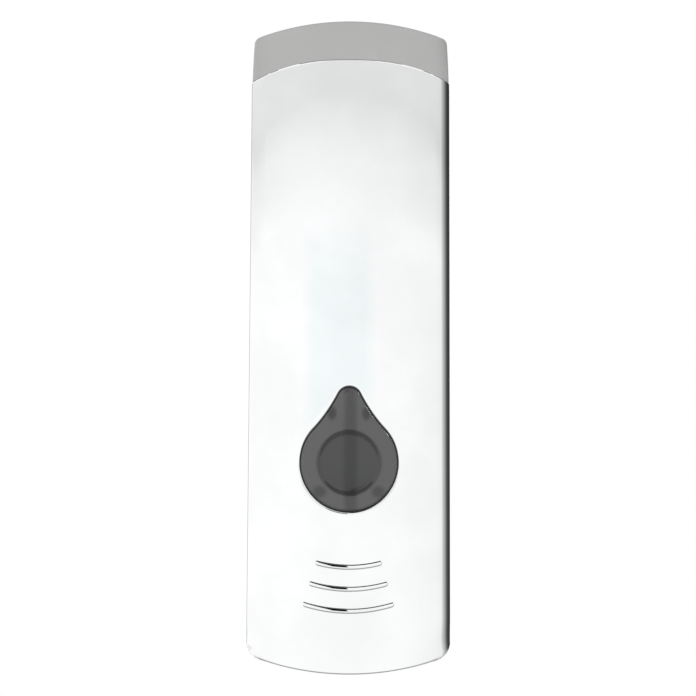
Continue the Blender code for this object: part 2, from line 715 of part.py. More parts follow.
def make_back_housing(look):
    """The moulded tray on the wall: back plate, low walls, a tongue for the cover, ears and screw posts."""
    tongue_inset = COVER_WALL + FIT_GAP
    reach = BODY_WIDTH_LOW
    below, above = Z_BOTTOM - CUT_OVERRUN, Z_TOP + CUT_OVERRUN
    ahead = FRONT_Y - CUT_OVERRUN
    housing = new_object("back_housing", body_form(0.0, 0.0), look)
    front_cut = new_object(
        "housing_front_cut", box_mesh((-reach, ahead, below), (reach, -HOUSING_DEPTH, above))
    )
    tongue_keep = new_object("tongue_keep", body_form(tongue_inset, -BACK_PLATE))
    tongue_cut = box_mesh((-reach, ahead, below), (reach, -HOUSING_DEPTH - TONGUE_LENGTH, above))
    boolean(tongue_keep, new_object("tongue_cut", tongue_cut))
    boolean(housing, front_cut)
    boolean(housing, tongue_keep, "UNION")
    boolean(housing, new_object("housing_inside", body_form(tongue_inset + TONGUE_THICKNESS, -BACK_PLATE)))
    top_z = SEAM_SIDE_Z - HOUSING_TOP_DROP
    top_cut = box_mesh((-reach, ahead, top_z), (reach, CUT_OVERRUN, above))
    boolean(housing, new_object("housing_top_cut", top_cut))
    for name, middle in (("upper", TAPE_Z), ("lower", -TAPE_Z)):
        width, height = TAPE_WIDTH + 2 * FIT_GAP, TAPE_HEIGHT + 2 * FIT_GAP
        recess = rounded_rectangle(width, height, TAPE_CORNER_RADIUS, (0, middle))
        depth = TAPE_THICKNESS + FIT_GAP
        boolean(housing, new_object(f"tape_recess_{name}", prism_mesh(recess, CUT_OVERRUN, -depth)))
    for side in (-1, 1):
        boolean(housing, new_object(f"hinge_ear_{side}", hinge_ear_mesh(side)), "UNION")
        eye = rod_mesh(
            HINGE_PIN_RADIUS + FIT_GAP,
            (side * (ear_x() - LOOSE_GAP), LID_PIVOT_Y, LID_PIVOT_Z),
            (side * (ear_x() + HINGE_EAR_THICKNESS + LOOSE_GAP), LID_PIVOT_Y, LID_PIVOT_Z),
            STEPS_SMALL_ROUND,
        )
        boolean(housing, new_object(f"hinge_eye_{side}", eye))
        ledge_x = half_width(CHAMBER_SHOULDER_Z) - CHAMBER_INSET - CHAMBER_LEDGE_WIDTH
        wall_x = half_width(CHAMBER_SHOULDER_Z) - tongue_inset - TONGUE_THICKNESS / 2
        xs = sorted((side * ledge_x, side * wall_x))
        ledge = box_mesh(
            (xs[0], -HOUSING_DEPTH, CHAMBER_SHOULDER_Z - FIT_GAP - CHAMBER_LEDGE_HEIGHT),
            (xs[1], -BACK_PLATE / 2, CHAMBER_SHOULDER_Z - FIT_GAP),
        )
        boolean(housing, new_object(f"chamber_ledge_{side}", ledge), "UNION")
    for place in post_places():
        add_post(housing, *place)
    return housing


def post_places():
    """(x, z, name) of the four screws that carry the pump bracket."""
    return [
        (side * POST_SPREAD / 2, BUTTON_Z + rise, f"{level}_{hand}")
        for level, rise in (("upper", POST_HIGH), ("lower", -POST_LOW))
        for hand, side in (("left", -1), ("right", 1))
    ]


def add_post(housing, x, z, name):
    """A screw post on the back plate, with a web on each side and a hole for its screw."""
    end_y = BRACKET_FRONT_Y + BRACKET_THICKNESS + FIT_GAP
    post_mesh = rod_mesh(POST_RADIUS, (x, -BACK_PLATE / 2, z), (x, end_y, z), STEPS_SMALL_ROUND)
    post = new_object(f"post_{name}", post_mesh)
    web_reach = 2 * POST_RADIUS
    web = [(x - web_reach, -BACK_PLATE / 2), (x + web_reach, -BACK_PLATE / 2), (x, end_y / 2)]
    boolean(housing, post, "UNION")
    web_mesh = prism_mesh(web, z - POST_WEB / 2, z + POST_WEB / 2, axis="Z")
    boolean(housing, new_object(f"post_web_{name}", web_mesh), "UNION")
    hole = rod_mesh(
        POST_HOLE_RADIUS + FIT_GAP,
        (x, end_y - FIT_GAP, z),
        (x, end_y + POST_HOLE_DEPTH, z),
        STEPS_SMALL_ROUND // 2,
    )
    boolean(housing, new_object(f"post_hole_{name}", hole))


def make_tape_pads(look):
    """The two foam tape pads in their recesses, flush with the wall face."""
    for name, middle in (("tape_pad_upper", TAPE_Z), ("tape_pad_lower", -TAPE_Z)):
        outline = rounded_rectangle(TAPE_WIDTH, TAPE_HEIGHT, TAPE_CORNER_RADIUS, (0, middle))
        new_object(name, prism_mesh(outline, 0.0, -TAPE_THICKNESS), look)


def chamber_ring(z, step):
    """A level section of the chamber, drawn in by a step: straight sides and the same bowed front."""
    inset = CHAMBER_INSET + step
    rear_y = CHAMBER_REAR_Y - step
    corner = max(CHAMBER_REAR_CORNER - step, FIT_GAP)
    fillet = max(SIDE_FILLET_RADIUS - inset, FIT_GAP)
    side = half_width(z) - inset
    bow_y = FRONT_Y + FRONT_BOW_RADIUS
    bow = FRONT_BOW_RADIUS - inset
    turn = math.asin((side - fillet) / (bow - fillet))
    fillet_y = bow_y - (bow - fillet) * math.cos(turn)
    right = arc_points(side - corner, rear_y - corner, corner, math.pi / 2, 0, STEPS_CORNER)
    right += arc_points(side - fillet, fillet_y, fillet, 0, turn - math.pi / 2, STEPS_CORNER)
    front = arc_points(0, bow_y, bow, turn - math.pi / 2, -math.pi / 2 - turn, STEPS_ARCH // 2)
    return right + front[1:-1] + [(-x, y) for x, y in reversed(right)]


def fan_places(ring):
    """Places along a ring, as (corner, share of the way to the next), that spread evenly round the neck."""
    places = []
    for i, (x, y) in enumerate(ring):
        next_x, next_y = ring[(i + 1) % len(ring)]
        start = math.atan2(y - VALVE_Y, x)
        sweep = (math.atan2(next_y - VALVE_Y, next_x) - start + math.pi) % math.tau - math.pi
        count = max(math.ceil(abs(sweep) * STEPS_ROUND / math.tau), 1)
        for step in range(count):
            turn = start + sweep * step / count
            across, along = math.sin(turn), -math.cos(turn)
            rise = (next_x - x) * across + (next_y - y) * along
            places.append((i, -(x * across + (y - VALVE_Y) * along) / rise if step else 0.0))
    return places


def at_places(ring, places):
    points = []
    for i, share in places:
        low, high = Vector(ring[i]), Vector(ring[(i + 1) % len(ring)])
        points.append(tuple(low.lerp(high, share)))
    return points


def make_chamber(look):
    """The soap chamber: an open-topped box with a shoulder, a hopper floor and an outlet neck."""
    top_z = SEAM_SIDE_Z - CHAMBER_TOP_DROP
    neck_top = BUTTON_Z + NECK_TOP
    neck_bottom = BUTTON_Z + NECK_BOTTOM
    inner_z = CHAMBER_SHOULDER_Z + CHAMBER_WALL
    places = fan_places(chamber_ring(CHAMBER_SHOULDER_Z, CHAMBER_SHOULDER))

    def section(z, step):
        return at_places(chamber_ring(z, step), places)

    turns = [math.atan2(y - VALVE_Y, x) for x, y in section(CHAMBER_SHOULDER_Z, CHAMBER_SHOULDER)]

    def circle(radius):
        return [(radius * math.cos(turn), VALVE_Y + radius * math.sin(turn)) for turn in turns]

    levels = [
        (top_z, section(top_z, 0.0)),
        (CHAMBER_SHOULDER_Z, section(CHAMBER_SHOULDER_Z, 0.0)),
        (CHAMBER_SHOULDER_Z, section(CHAMBER_SHOULDER_Z, CHAMBER_SHOULDER)),
        (neck_top, circle(NECK_RADIUS)),
        (neck_bottom, circle(NECK_RADIUS)),
        (neck_bottom, circle(NECK_BORE_RADIUS)),
        (neck_top + CHAMBER_WALL, circle(NECK_BORE_RADIUS)),
        (inner_z, section(inner_z, CHAMBER_WALL + CHAMBER_SHOULDER)),
        (inner_z, section(inner_z, CHAMBER_WALL)),
        (top_z, section(top_z, CHAMBER_WALL)),
    ]
    mesh = bmesh.new()
    rings = [[mesh.verts.new((x, y, z)) for x, y in points] for z, points in levels]
    bridge_rings(mesh, rings + rings[:1])
    bmesh.ops.recalc_face_normals(mesh, faces=mesh.faces)
    return new_object("chamber", mesh, look)


def ring_profile(inner, outer, low, high):
    return [(outer, high), (outer, low), (inner, low), (inner, high)]


def seal_profile(radius, wire, height):
    return [
        (radius + wire * math.cos(turn), height + wire * math.sin(turn))
        for turn in (-math.tau * i / 8 for i in range(8))
    ]


def make_neck_seal(look):
    """The ring that seals the chamber's neck in the pump's socket."""
    radius = (NECK_RADIUS + SOCKET_RADIUS) / 2
    profile = seal_profile(radius, SEAL_WIRE_RADIUS, NECK_SEAL_HEIGHT)
    turned("neck_seal", profile, (0, VALVE_Y, BUTTON_Z), look=look)


def pump_flange_y():
    return BRACKET_FRONT_Y + BRACKET_THICKNESS + FIT_GAP


def make_pump_body(look):
    """The pump: a level cylinder with a flange, an inlet socket on top and an outlet tower below."""
    start_y = pump_flange_y()
    barrel = rod_mesh(PUMP_BORE_RADIUS + PUMP_WALL, (0, start_y, BUTTON_Z), (0, PUMP_REAR_Y, BUTTON_Z))
    pump = new_object("pump_body", barrel, look)
    outline = rounded_rectangle(PUMP_FLANGE_WIDTH, PUMP_FLANGE_HEIGHT, PUMP_FLANGE_HEIGHT / 4, (0, BUTTON_Z))
    flange = prism_mesh(outline, start_y, start_y + PUMP_FLANGE_THICKNESS)
    boolean(pump, new_object("pump_flange", flange), "UNION")

    def upright(name, radius, low, high, operation, steps=STEPS_ROUND):
        rod = rod_mesh(radius, (0, VALVE_Y, BUTTON_Z + low), (0, VALVE_Y, BUTTON_Z + high), steps)
        boolean(pump, new_object(name, rod), operation)

    upright("socket_tower", SOCKET_RADIUS + SOCKET_WALL, 0.0, SOCKET_TOP, "UNION")
    upright("outlet_tower", OUTLET_TOWER_RADIUS, OUTLET_TOWER_BOTTOM, 0.0, "UNION")
    bore = rod_mesh(
        PUMP_BORE_RADIUS, (0, start_y - CUT_OVERRUN, BUTTON_Z), (0, PUMP_REAR_Y - PUMP_WALL, BUTTON_Z)
    )
    boolean(pump, new_object("pump_bore", bore))
    upright("socket_bore", SOCKET_RADIUS, socket_floor(), SOCKET_TOP + CUT_OVERRUN, "DIFFERENCE")
    upright("cage_bore", CAGE_RADIUS, CAGE_FLOOR, SOCKET_TOP, "DIFFERENCE", STEPS_SMALL_ROUND)
    upright("inlet_port", PORT_RADIUS, 0.0, SOCKET_TOP, "DIFFERENCE", STEPS_SMALL_ROUND)
    upright("outlet_port", OUTLET_PORT_RADIUS, OUTLET_TOWER_BOTTOM, 0.0, "DIFFERENCE", STEPS_SMALL_ROUND)
    low = OUTLET_TOWER_BOTTOM - CUT_OVERRUN
    upright("outlet_bore", OUTLET_BORE_RADIUS, low, OUTLET_SEAT, "DIFFERENCE", STEPS_SMALL_ROUND)
    reach = CAGE_RADIUS - FIT_GAP
    for name, across, along in (("a", BYPASS_WIDTH / 2, reach), ("b", reach, BYPASS_WIDTH / 2)):
        slot = box_mesh(
            (-across, VALVE_Y - along, BUTTON_Z), (across, VALVE_Y + along, BUTTON_Z + socket_floor())
        )
        boolean(pump, new_object(f"bypass_{name}", slot))
    for side in (-1, 1):
        place = (side * PUMP_SCREW_SPREAD / 2, BUTTON_Z)
        hole = screw_hole_mesh(place, start_y, PUMP_FLANGE_THICKNESS)
        boolean(pump, new_object(f"pump_screw_hole_{side}", hole))
    return pump


def inlet_ball_height():
    return CAGE_FLOOR + math.sqrt(BALL_RADIUS**2 - PORT_RADIUS**2) + FIT_GAP / 2


def socket_floor():
    """The seat above the inlet ball is as high as lets the ball rise by its lift."""
    return inlet_ball_height() + INLET_LIFT + math.sqrt(BALL_RADIUS**2 - PORT_RADIUS**2)


def screw_hole_mesh(place, start_y, thickness):
    x, z = place
    return rod_mesh(
        SCREW_RADIUS + FIT_GAP,
        (x, start_y - LOOSE_GAP, z),
        (x, start_y + thickness + LOOSE_GAP, z),
        STEPS_SMALL_ROUND // 2,
    )


def make_valves(white, steel):
    """Inlet seat and ball above the pump, outlet ball, spring and screwed cap below it."""
    place = (0, VALVE_Y, BUTTON_Z)
    seat_low = socket_floor() + FIT_GAP
    profile = ring_profile(PORT_RADIUS, SOCKET_RADIUS - FIT_GAP, seat_low, seat_low + SEAT_THICKNESS)
    turned("inlet_seat", profile, place, look=white)
    make_ball("inlet_ball", inlet_ball_height(), steel)
    make_ball("outlet_ball", outlet_ball_height(), steel)
    wall_radius = OUTLET_TOWER_RADIUS + FIT_GAP
    floor = OUTLET_CAP_FLOOR + OUTLET_CAP_WALL
    barb_low = OUTLET_CAP_FLOOR - BARB_LENGTH
    profile = [
        (wall_radius + OUTLET_CAP_WALL, OUTLET_CAP_TOP),
        (wall_radius + OUTLET_CAP_WALL, OUTLET_CAP_FLOOR),
        (BARB_RADIUS, OUTLET_CAP_FLOOR),
        (BARB_RADIUS, barb_low + BARB_RADIUS),
        (BARB_RADIUS + BARB_RIDGE, barb_low + BARB_RADIUS),
        (BARB_RADIUS - BARB_RIDGE, barb_low),
        (BARB_BORE_RADIUS, barb_low),
        (BARB_BORE_RADIUS, floor),
        (wall_radius, floor),
        (wall_radius, OUTLET_CAP_TOP),
    ]
    turned("outlet_cap", profile, place, look=white)
    high = outlet_ball_height() - BALL_RADIUS - FIT_GAP
    make_spring(
        "outlet_spring",
        (0, VALVE_Y, BUTTON_Z + floor + FIT_GAP),
        (0, VALVE_Y, BUTTON_Z + high),
        OUTLET_SPRING_COIL_RADIUS,
        OUTLET_SPRING_WIRE_RADIUS,
        OUTLET_SPRING_TURNS,
        steel,
    )


def outlet_ball_height():
    return OUTLET_SEAT - math.sqrt(BALL_RADIUS**2 - OUTLET_PORT_RADIUS**2) - FIT_GAP / 2


def make_ball(name, height, look):
    mesh = bmesh.new()
    around = STEPS_SMALL_ROUND
    bmesh.ops.create_uvsphere(mesh, u_segments=around, v_segments=around // 2, radius=BALL_RADIUS)
    made = new_object(name, mesh, look)
    made.location = (0, VALVE_Y, BUTTON_Z + height)
    return made


def make_spring(name, start, end, coil_radius, wire_radius, turns, look):
    """A coil spring as one unbroken wire that fills the run between its two seats."""
    start, end = Vector(start), Vector(end)
    run = end - start
    length = run.length - 2 * wire_radius
    along = run.normalized()
    across = along.orthogonal().normalized()
    other = along.cross(across)
    count = int(turns * SPRING_POINTS_PER_TURN)
    points = []
    for i in range(count + 1):
        turn = math.tau * turns * i / count
        height = wire_radius + length * i / count
        points.append(
            start + along * height + (across * math.cos(turn) + other * math.sin(turn)) * coil_radius
        )
    gap = min(
        (points[i] - points[j]).length
        for i in range(len(points))
        for j in range(i + SPRING_POINTS_PER_TURN // 2, len(points))
    )
    print(f"{name}: least gap of the wire to itself {(gap - 2 * wire_radius) / MILLIMETRE:.2f} mm")
    return tube(name, points, wire_radius, look, resolution=1)


def tube(name, points, radius, look, resolution=3):
    """A round tube along points, as a mesh with welded end caps."""
    curve = bpy.data.curves.new(name, "CURVE")
    curve.dimensions = "3D"
    curve.bevel_depth = radius
    curve.bevel_resolution = resolution
    curve.use_fill_caps = True
    spline = curve.splines.new("POLY")
    spline.points.add(len(points) - 1)
    for target, point in zip(spline.points, points):
        target.co = (*point, 1.0)
    guide = bpy.data.objects.new(name + "_route", curve)
    bpy.data.collections[CUTTER_COLLECTION_NAME].objects.link(guide)
    bpy.context.view_layer.update()
    evaluated = guide.evaluated_get(bpy.context.evaluated_depsgraph_get())
    mesh = bpy.data.meshes.new_from_object(evaluated)
    bpy.data.objects.remove(guide)
    form = bmesh.new()
    form.from_mesh(mesh)
    bpy.data.meshes.remove(mesh)
    bmesh.ops.remove_doubles(form, verts=form.verts, dist=FIT_GAP / 100)
    bmesh.ops.recalc_face_normals(form, faces=form.faces)
    return new_object(name, form, look)


def make_pump_bracket(look):
    """The moulded bracket: a plate for the pump, guide tubes that stop the button, the nozzle's shelf."""
    front, rear = BRACKET_FRONT_Y, BRACKET_FRONT_Y + BRACKET_THICKNESS
    high, low = BUTTON_Z + POST_HIGH + BRACKET_MARGIN, BUTTON_Z - POST_LOW - BRACKET_MARGIN
    outline = rounded_rectangle(BRACKET_WIDTH, high - low, BRACKET_CORNER_RADIUS, (0, (high + low) / 2))
    bracket = new_object("pump_bracket", prism_mesh(outline, rear, front), look)
    shelf_z = nozzle_shelf_z()
    for side in (-1, 1):
        middle = side * BRACKET_LEG_SPREAD / 2
        leg = box_mesh(
            (middle - BRACKET_LEG_WIDTH / 2, front, shelf_z - NOZZLE_SHELF_THICKNESS),
            (middle + BRACKET_LEG_WIDTH / 2, rear, low + BRACKET_MARGIN),
        )
        boolean(bracket, new_object(f"bracket_leg_{side}", leg), "UNION")
        place = (side * PUMP_SCREW_SPREAD / 2, BUTTON_Z)
        hole = screw_hole_mesh(place, front, BRACKET_THICKNESS)
        boolean(bracket, new_object(f"bracket_pump_hole_{side}", hole))
    shelf = box_mesh(
        (-NOZZLE_SHELF_WIDTH / 2, front - NOZZLE_SHELF_LENGTH, shelf_z - NOZZLE_SHELF_THICKNESS),
        (NOZZLE_SHELF_WIDTH / 2, rear, shelf_z),
    )
    boolean(bracket, new_object("nozzle_shelf", shelf), "UNION")
    hole = rod_mesh(
        NOZZLE_STEM_RADIUS + FIT_GAP,
        (0, NOZZLE_Y, shelf_z - CUT_OVERRUN),
        (0, NOZZLE_Y, shelf_z + CUT_OVERRUN),
    )
    boolean(bracket, new_object("nozzle_shelf_hole", hole))
    mouth = rod_mesh(
        PUMP_BORE_RADIUS + FIT_GAP, (0, front - CUT_OVERRUN, BUTTON_Z), (0, rear + CUT_OVERRUN, BUTTON_Z)
    )
    boolean(bracket, new_object("bracket_mouth", mouth))
    for x, z, name in post_places():
        hole = screw_hole_mesh((x, z), front, BRACKET_THICKNESS)
        boolean(bracket, new_object(f"bracket_hole_{name}", hole))
    guide_front = carrier_rear_y() + BUTTON_TRAVEL + FIT_GAP
    bore_radius = CARRIER_POST_RADIUS + FIT_GAP
    for i, (x, rise) in enumerate(CARRIER_POST_PLACES):
        z = BUTTON_Z + rise
        guide = rod_mesh(
            bore_radius + GUIDE_WALL, (x, guide_front, z), (x, rear - FIT_GAP, z), STEPS_SMALL_ROUND
        )
        boolean(bracket, new_object(f"guide_{i + 1}", guide), "UNION")
        bore = rod_mesh(
            bore_radius, (x, guide_front - FIT_GAP, z), (x, rear + CUT_OVERRUN, z), STEPS_SMALL_ROUND
        )
        boolean(bracket, new_object(f"guide_bore_{i + 1}", bore))
    return bracket


def nozzle_shelf_z():
    return Z_BOTTOM + NOZZLE_SHELF_ABOVE_BOTTOM


def make_screw(name, x, z, head_y, direction, length, look):
    """A pan-head screw along Y with a cross recess; direction is where its tip points."""
    tip = -length
    profile = [
        (0, SCREW_HEAD_HEIGHT),
        (SCREW_HEAD_RADIUS * SCREW_CROWN_SHARE, SCREW_HEAD_HEIGHT),
        (SCREW_HEAD_RADIUS, SCREW_HEAD_HEIGHT / 2),
        (SCREW_HEAD_RADIUS, 0),
        (SCREW_RADIUS, 0),
        (SCREW_RADIUS, tip + SCREW_RADIUS),
        (SCREW_RADIUS / 3, tip),
        (0, tip),
    ]
    screw = turned(name, profile, (x, head_y, z), look=look, steps=STEPS_SMALL_ROUND // 2)
    screw.rotation_euler = (direction * math.pi / 2, 0, 0)
    outer_y = head_y - direction * SCREW_HEAD_HEIGHT
    for label, half_x, half_z in (
        ("a", SCREW_CROSS_LENGTH / 2, SCREW_CROSS_WIDTH / 2),
        ("b", SCREW_CROSS_WIDTH / 2, SCREW_CROSS_LENGTH / 2),
    ):
        ys = sorted((outer_y + direction * SCREW_CROSS_DEPTH, outer_y - direction * SCREW_HEAD_HEIGHT))
        slot = box_mesh((x - half_x, ys[0], z - half_z), (x + half_x, ys[1], z + half_z))
        boolean(screw, new_object(f"{name}_cross_{label}", slot))
    return screw


def make_screws(look):
    for x, z, name in post_places():
        make_screw(f"bracket_screw_{name}", x, z, BRACKET_FRONT_Y - FIT_GAP, 1, SCREW_LENGTH, look)
    for hand, side in (("left", -1), ("right", 1)):
        head_y = pump_flange_y() + PUMP_FLANGE_THICKNESS + FIT_GAP
        make_screw(
            f"pump_screw_{hand}", side * PUMP_SCREW_SPREAD / 2, BUTTON_Z, head_y, -1, PUMP_SCREW_LENGTH, look
        )


def carrier_front_y():
    return FRONT_Y + BUTTON_SKIRT_DEPTH + FIT_GAP


def carrier_rear_y():
    return carrier_front_y() + CARRIER_THICKNESS


def end_cap_front_y():
    return BRACKET_FRONT_Y - FIT_GAP - END_CAP_THICKNESS


def piston_front_y():
    return BRACKET_FRONT_Y - FIT_GAP + END_CAP_SPIGOT + PISTON_GAP


def make_end_cap(look):
    """The cap that closes the pump's mouth and guides the piston rod."""
    flange_y = BRACKET_FRONT_Y - FIT_GAP
    spigot_end = flange_y + END_CAP_SPIGOT
    front = end_cap_front_y()
    bore = PISTON_ROD_RADIUS + FIT_GAP
    wiper = bore + WIPER_WIDTH
    profile = [
        (PUMP_BORE_RADIUS - FIT_GAP, spigot_end),
        (PUMP_BORE_RADIUS - FIT_GAP, flange_y),
        (END_CAP_RADIUS, flange_y),
        (END_CAP_RADIUS, front),
        (wiper, front),
        (wiper, front + WIPER_WIDTH),
        (bore, front + WIPER_WIDTH),
        (bore, spigot_end),
    ]
    turned("pump_end_cap", profile, (0, 0, BUTTON_Z), "Y", look)


def make_rod_wiper(look):
    """The ring in the end cap that wipes the piston rod."""
    front = end_cap_front_y()
    inner = PISTON_ROD_RADIUS + FIT_GAP / 3
    outer = PISTON_ROD_RADIUS + WIPER_WIDTH
    profile = ring_profile(inner, outer, front + FIT_GAP / 3, front + WIPER_WIDTH - FIT_GAP)
    turned("rod_wiper", profile, (0, 0, BUTTON_Z), "Y", look)


def make_piston(look, seal_look):
    """The piston and its rod, pushed by the carrier, with a lipped seal in its groove."""
    front = piston_front_y()
    rear = front + PISTON_LENGTH
    head = PUMP_BORE_RADIUS - FIT_GAP
    groove = head - PISTON_GROOVE_DEPTH
    groove_front = front + (PISTON_LENGTH - PISTON_GROOVE_LENGTH) / 2
    groove_rear = groove_front + PISTON_GROOVE_LENGTH
    rod_end = carrier_rear_y() + FIT_GAP
    profile = [
        (0, rear),
        (head, rear),
        (head, groove_rear),
        (groove, groove_rear),
        (groove, groove_front),
        (head, groove_front),
        (head, front),
        (PISTON_ROD_RADIUS, front),
        (PISTON_ROD_RADIUS, rod_end),
        (0, rod_end),
    ]
    turned("piston", profile, (0, 0, BUTTON_Z), "Y", look)
    seal_inner = groove + FIT_GAP / 3
    lip = PUMP_BORE_RADIUS - PISTON_SEAL_GAP
    seal_front = groove_front + FIT_GAP / 3
    seal_rear = groove_rear - FIT_GAP / 3
    profile = [
        (lip, seal_rear),
        (lip, seal_rear - PISTON_GROOVE_LENGTH / 3),
        (head, seal_front),
        (seal_inner, seal_front),
        (seal_inner, seal_rear),
        ((seal_inner + lip) / 2, seal_rear - PISTON_GROOVE_LENGTH / 3),
    ]
    turned("piston_seal", profile, (0, 0, BUTTON_Z), "Y", seal_look)


def make_return_spring(look):
    start = (0, end_cap_front_y() - FIT_GAP, BUTTON_Z)
    end = (0, carrier_rear_y() + FIT_GAP, BUTTON_Z)
    make_spring("return_spring", start, end, SPRING_COIL_RADIUS, SPRING_WIRE_RADIUS, SPRING_TURNS, look)


def make_push_button(look):
    """The teardrop cap: bowed face with a finger dish, hollow behind, with a stop flange at its back."""
    back = FRONT_Y + BUTTON_SKIRT_DEPTH
    ahead = FRONT_Y - CUT_OVERRUN
    button = new_object("push_button", prism_mesh(teardrop(), back, ahead), look)
    boolean(button, new_object("button_face", body_form(-BUTTON_CROWN, CUT_OVERRUN)), "INTERSECT")
    flange = prism_mesh(teardrop(BUTTON_FLANGE_WIDTH), back, back - BUTTON_FLANGE_THICKNESS)
    boolean(button, new_object("button_flange", flange), "UNION")
    hollow_outline = teardrop(-BUTTON_WALL)
    hollow = new_object("button_hollow", prism_mesh(hollow_outline, back + CUT_OVERRUN, ahead))
    hollow_face = new_object("button_hollow_face", body_form(dish_floor_inset(), 2 * CUT_OVERRUN))
    boolean(hollow, hollow_face, "INTERSECT")
    boolean(button, hollow)
    steps = STEPS_CORNER * 2
    centre_y = FRONT_Y + FINGER_DISH_DEPTH
    profile = [(0, centre_y)]
    reach = FINGER_DISH_RADIUS - DISH_WALL_WIDTH
    for i in range(1, steps + 1):
        profile.append((reach * i / steps, centre_y - DISH_EDGE_RISE * (i / steps) ** 2))
    climb = (profile[-1][1] - FRONT_Y + BUTTON_CROWN) / DISH_WALL_WIDTH
    brim = FINGER_DISH_RADIUS + FIT_GAP
    profile += [(brim, FRONT_Y - BUTTON_CROWN - FIT_GAP * climb), (brim, ahead), (0, ahead)]
    dish = turned("finger_dish", profile, (0, 0, BUTTON_Z), "Y")
    boolean(button, dish)
    return button


def dish_floor_inset():
    return BUTTON_FACE_THICKNESS + FINGER_DISH_DEPTH


def make_button_carrier(look):
    """The dark frame behind the button: pegs that hold the cap, guide posts with hooks and a spring cup."""
    front, rear = carrier_front_y(), carrier_rear_y()
    carrier = new_object("button_carrier", prism_mesh(teardrop(BUTTON_FLANGE_WIDTH), rear, front), look)
    tip_y = BRACKET_FRONT_Y + BRACKET_THICKNESS + FIT_GAP + CARRIER_HOOK_LENGTH
    for i, (x, rise) in enumerate(CARRIER_POST_PLACES):
        z = BUTTON_Z + rise
        root_y = rear - CARRIER_THICKNESS / 2
        post = rod_mesh(CARRIER_POST_RADIUS, (x, root_y, z), (x, tip_y, z), STEPS_SMALL_ROUND)
        boolean(carrier, new_object(f"carrier_post_{i + 1}", post), "UNION")
        side = 1 if x > 0 else -1
        xs = sorted((x, x + side * (CARRIER_POST_RADIUS + CARRIER_HOOK_REACH)))
        hook = box_mesh(
            (xs[0], tip_y - CARRIER_HOOK_LENGTH, z - CARRIER_POST_RADIUS / 2),
            (xs[1], tip_y - FIT_GAP, z + CARRIER_POST_RADIUS / 2),
        )
        boolean(carrier, new_object(f"carrier_hook_{i + 1}", hook), "UNION")
    for i, (x, rise) in enumerate(CARRIER_PEG_PLACES):
        z = BUTTON_Z + rise
        end = front_y(x, dish_floor_inset()) + FIT_GAP
        peg = rod_mesh(CARRIER_PEG_RADIUS, (x, rear - CARRIER_THICKNESS / 2, z), (x, end, z), STEPS_SMALL_ROUND)
        boolean(carrier, new_object(f"carrier_peg_{i + 1}", peg), "UNION")
    radius = SPRING_COIL_RADIUS + SPRING_WIRE_RADIUS + FIT_GAP
    cup = rod_mesh(
        radius + SPRING_CUP_WALL,
        (0, rear - CARRIER_THICKNESS / 2, BUTTON_Z),
        (0, rear + SPRING_CUP_DEPTH, BUTTON_Z),
    )
    boolean(carrier, new_object("spring_cup", cup), "UNION")
    hollow = rod_mesh(radius, (0, rear, BUTTON_Z), (0, rear + CUT_OVERRUN / 2, BUTTON_Z))
    boolean(carrier, new_object("spring_cup_hollow", hollow))
    return carrier


def make_nozzle(look, nut_look):
    """The downward spout in the shelf's hole, with a barb for the hose, and the nut that holds it."""
    shelf_high = nozzle_shelf_z()
    shelf_low = shelf_high - NOZZLE_SHELF_THICKNESS
    nut_low = shelf_high + FIT_GAP
    nut_high = nut_low + NOZZLE_NUT_HEIGHT
    barb_high = nut_high + FIT_GAP + BARB_LENGTH
    flange_high = shelf_low - FIT_GAP
    flange_low = flange_high - NOZZLE_FLANGE_THICKNESS
    tip = Z_BOTTOM + NOZZLE_TIP_ABOVE_BOTTOM
    profile = [
        (BARB_RADIUS - BARB_RIDGE, barb_high),
        (BARB_RADIUS + BARB_RIDGE, barb_high - BARB_RADIUS),
        (BARB_RADIUS, barb_high - BARB_RADIUS),
        (BARB_RADIUS, nut_high),
        (NOZZLE_STEM_RADIUS, nut_high),
        (NOZZLE_STEM_RADIUS, flange_high),
        (NOZZLE_FLANGE_RADIUS, flange_high),
        (NOZZLE_FLANGE_RADIUS, flange_low),
        (NOZZLE_RADIUS, flange_low),
        (NOZZLE_RADIUS, tip + NOZZLE_FLANGE_THICKNESS),
        (NOZZLE_TIP_RADIUS, tip),
        (NOZZLE_BORE_RADIUS, tip),
        (NOZZLE_BORE_RADIUS, flange_high),
        (BARB_BORE_RADIUS, flange_high + NOZZLE_BORE_RADIUS),
        (BARB_BORE_RADIUS, barb_high),
    ]
    turned("nozzle", profile, (0, NOZZLE_Y, 0), look=look)
    corner = NOZZLE_NUT_WIDTH / math.sqrt(3)
    turns = [math.tau * i / 6 for i in range(6)]
    outline = [(corner * math.cos(turn), NOZZLE_Y + corner * math.sin(turn)) for turn in turns]
    nut = new_object("nozzle_nut", prism_mesh(outline, nut_low, nut_high, axis="Z"), nut_look)
    hole = rod_mesh(
        NOZZLE_STEM_RADIUS + FIT_GAP,
        (0, NOZZLE_Y, nut_low - CUT_OVERRUN),
        (0, NOZZLE_Y, nut_high + CUT_OVERRUN),
    )
    boolean(nut, new_object("nozzle_nut_hole", hole))


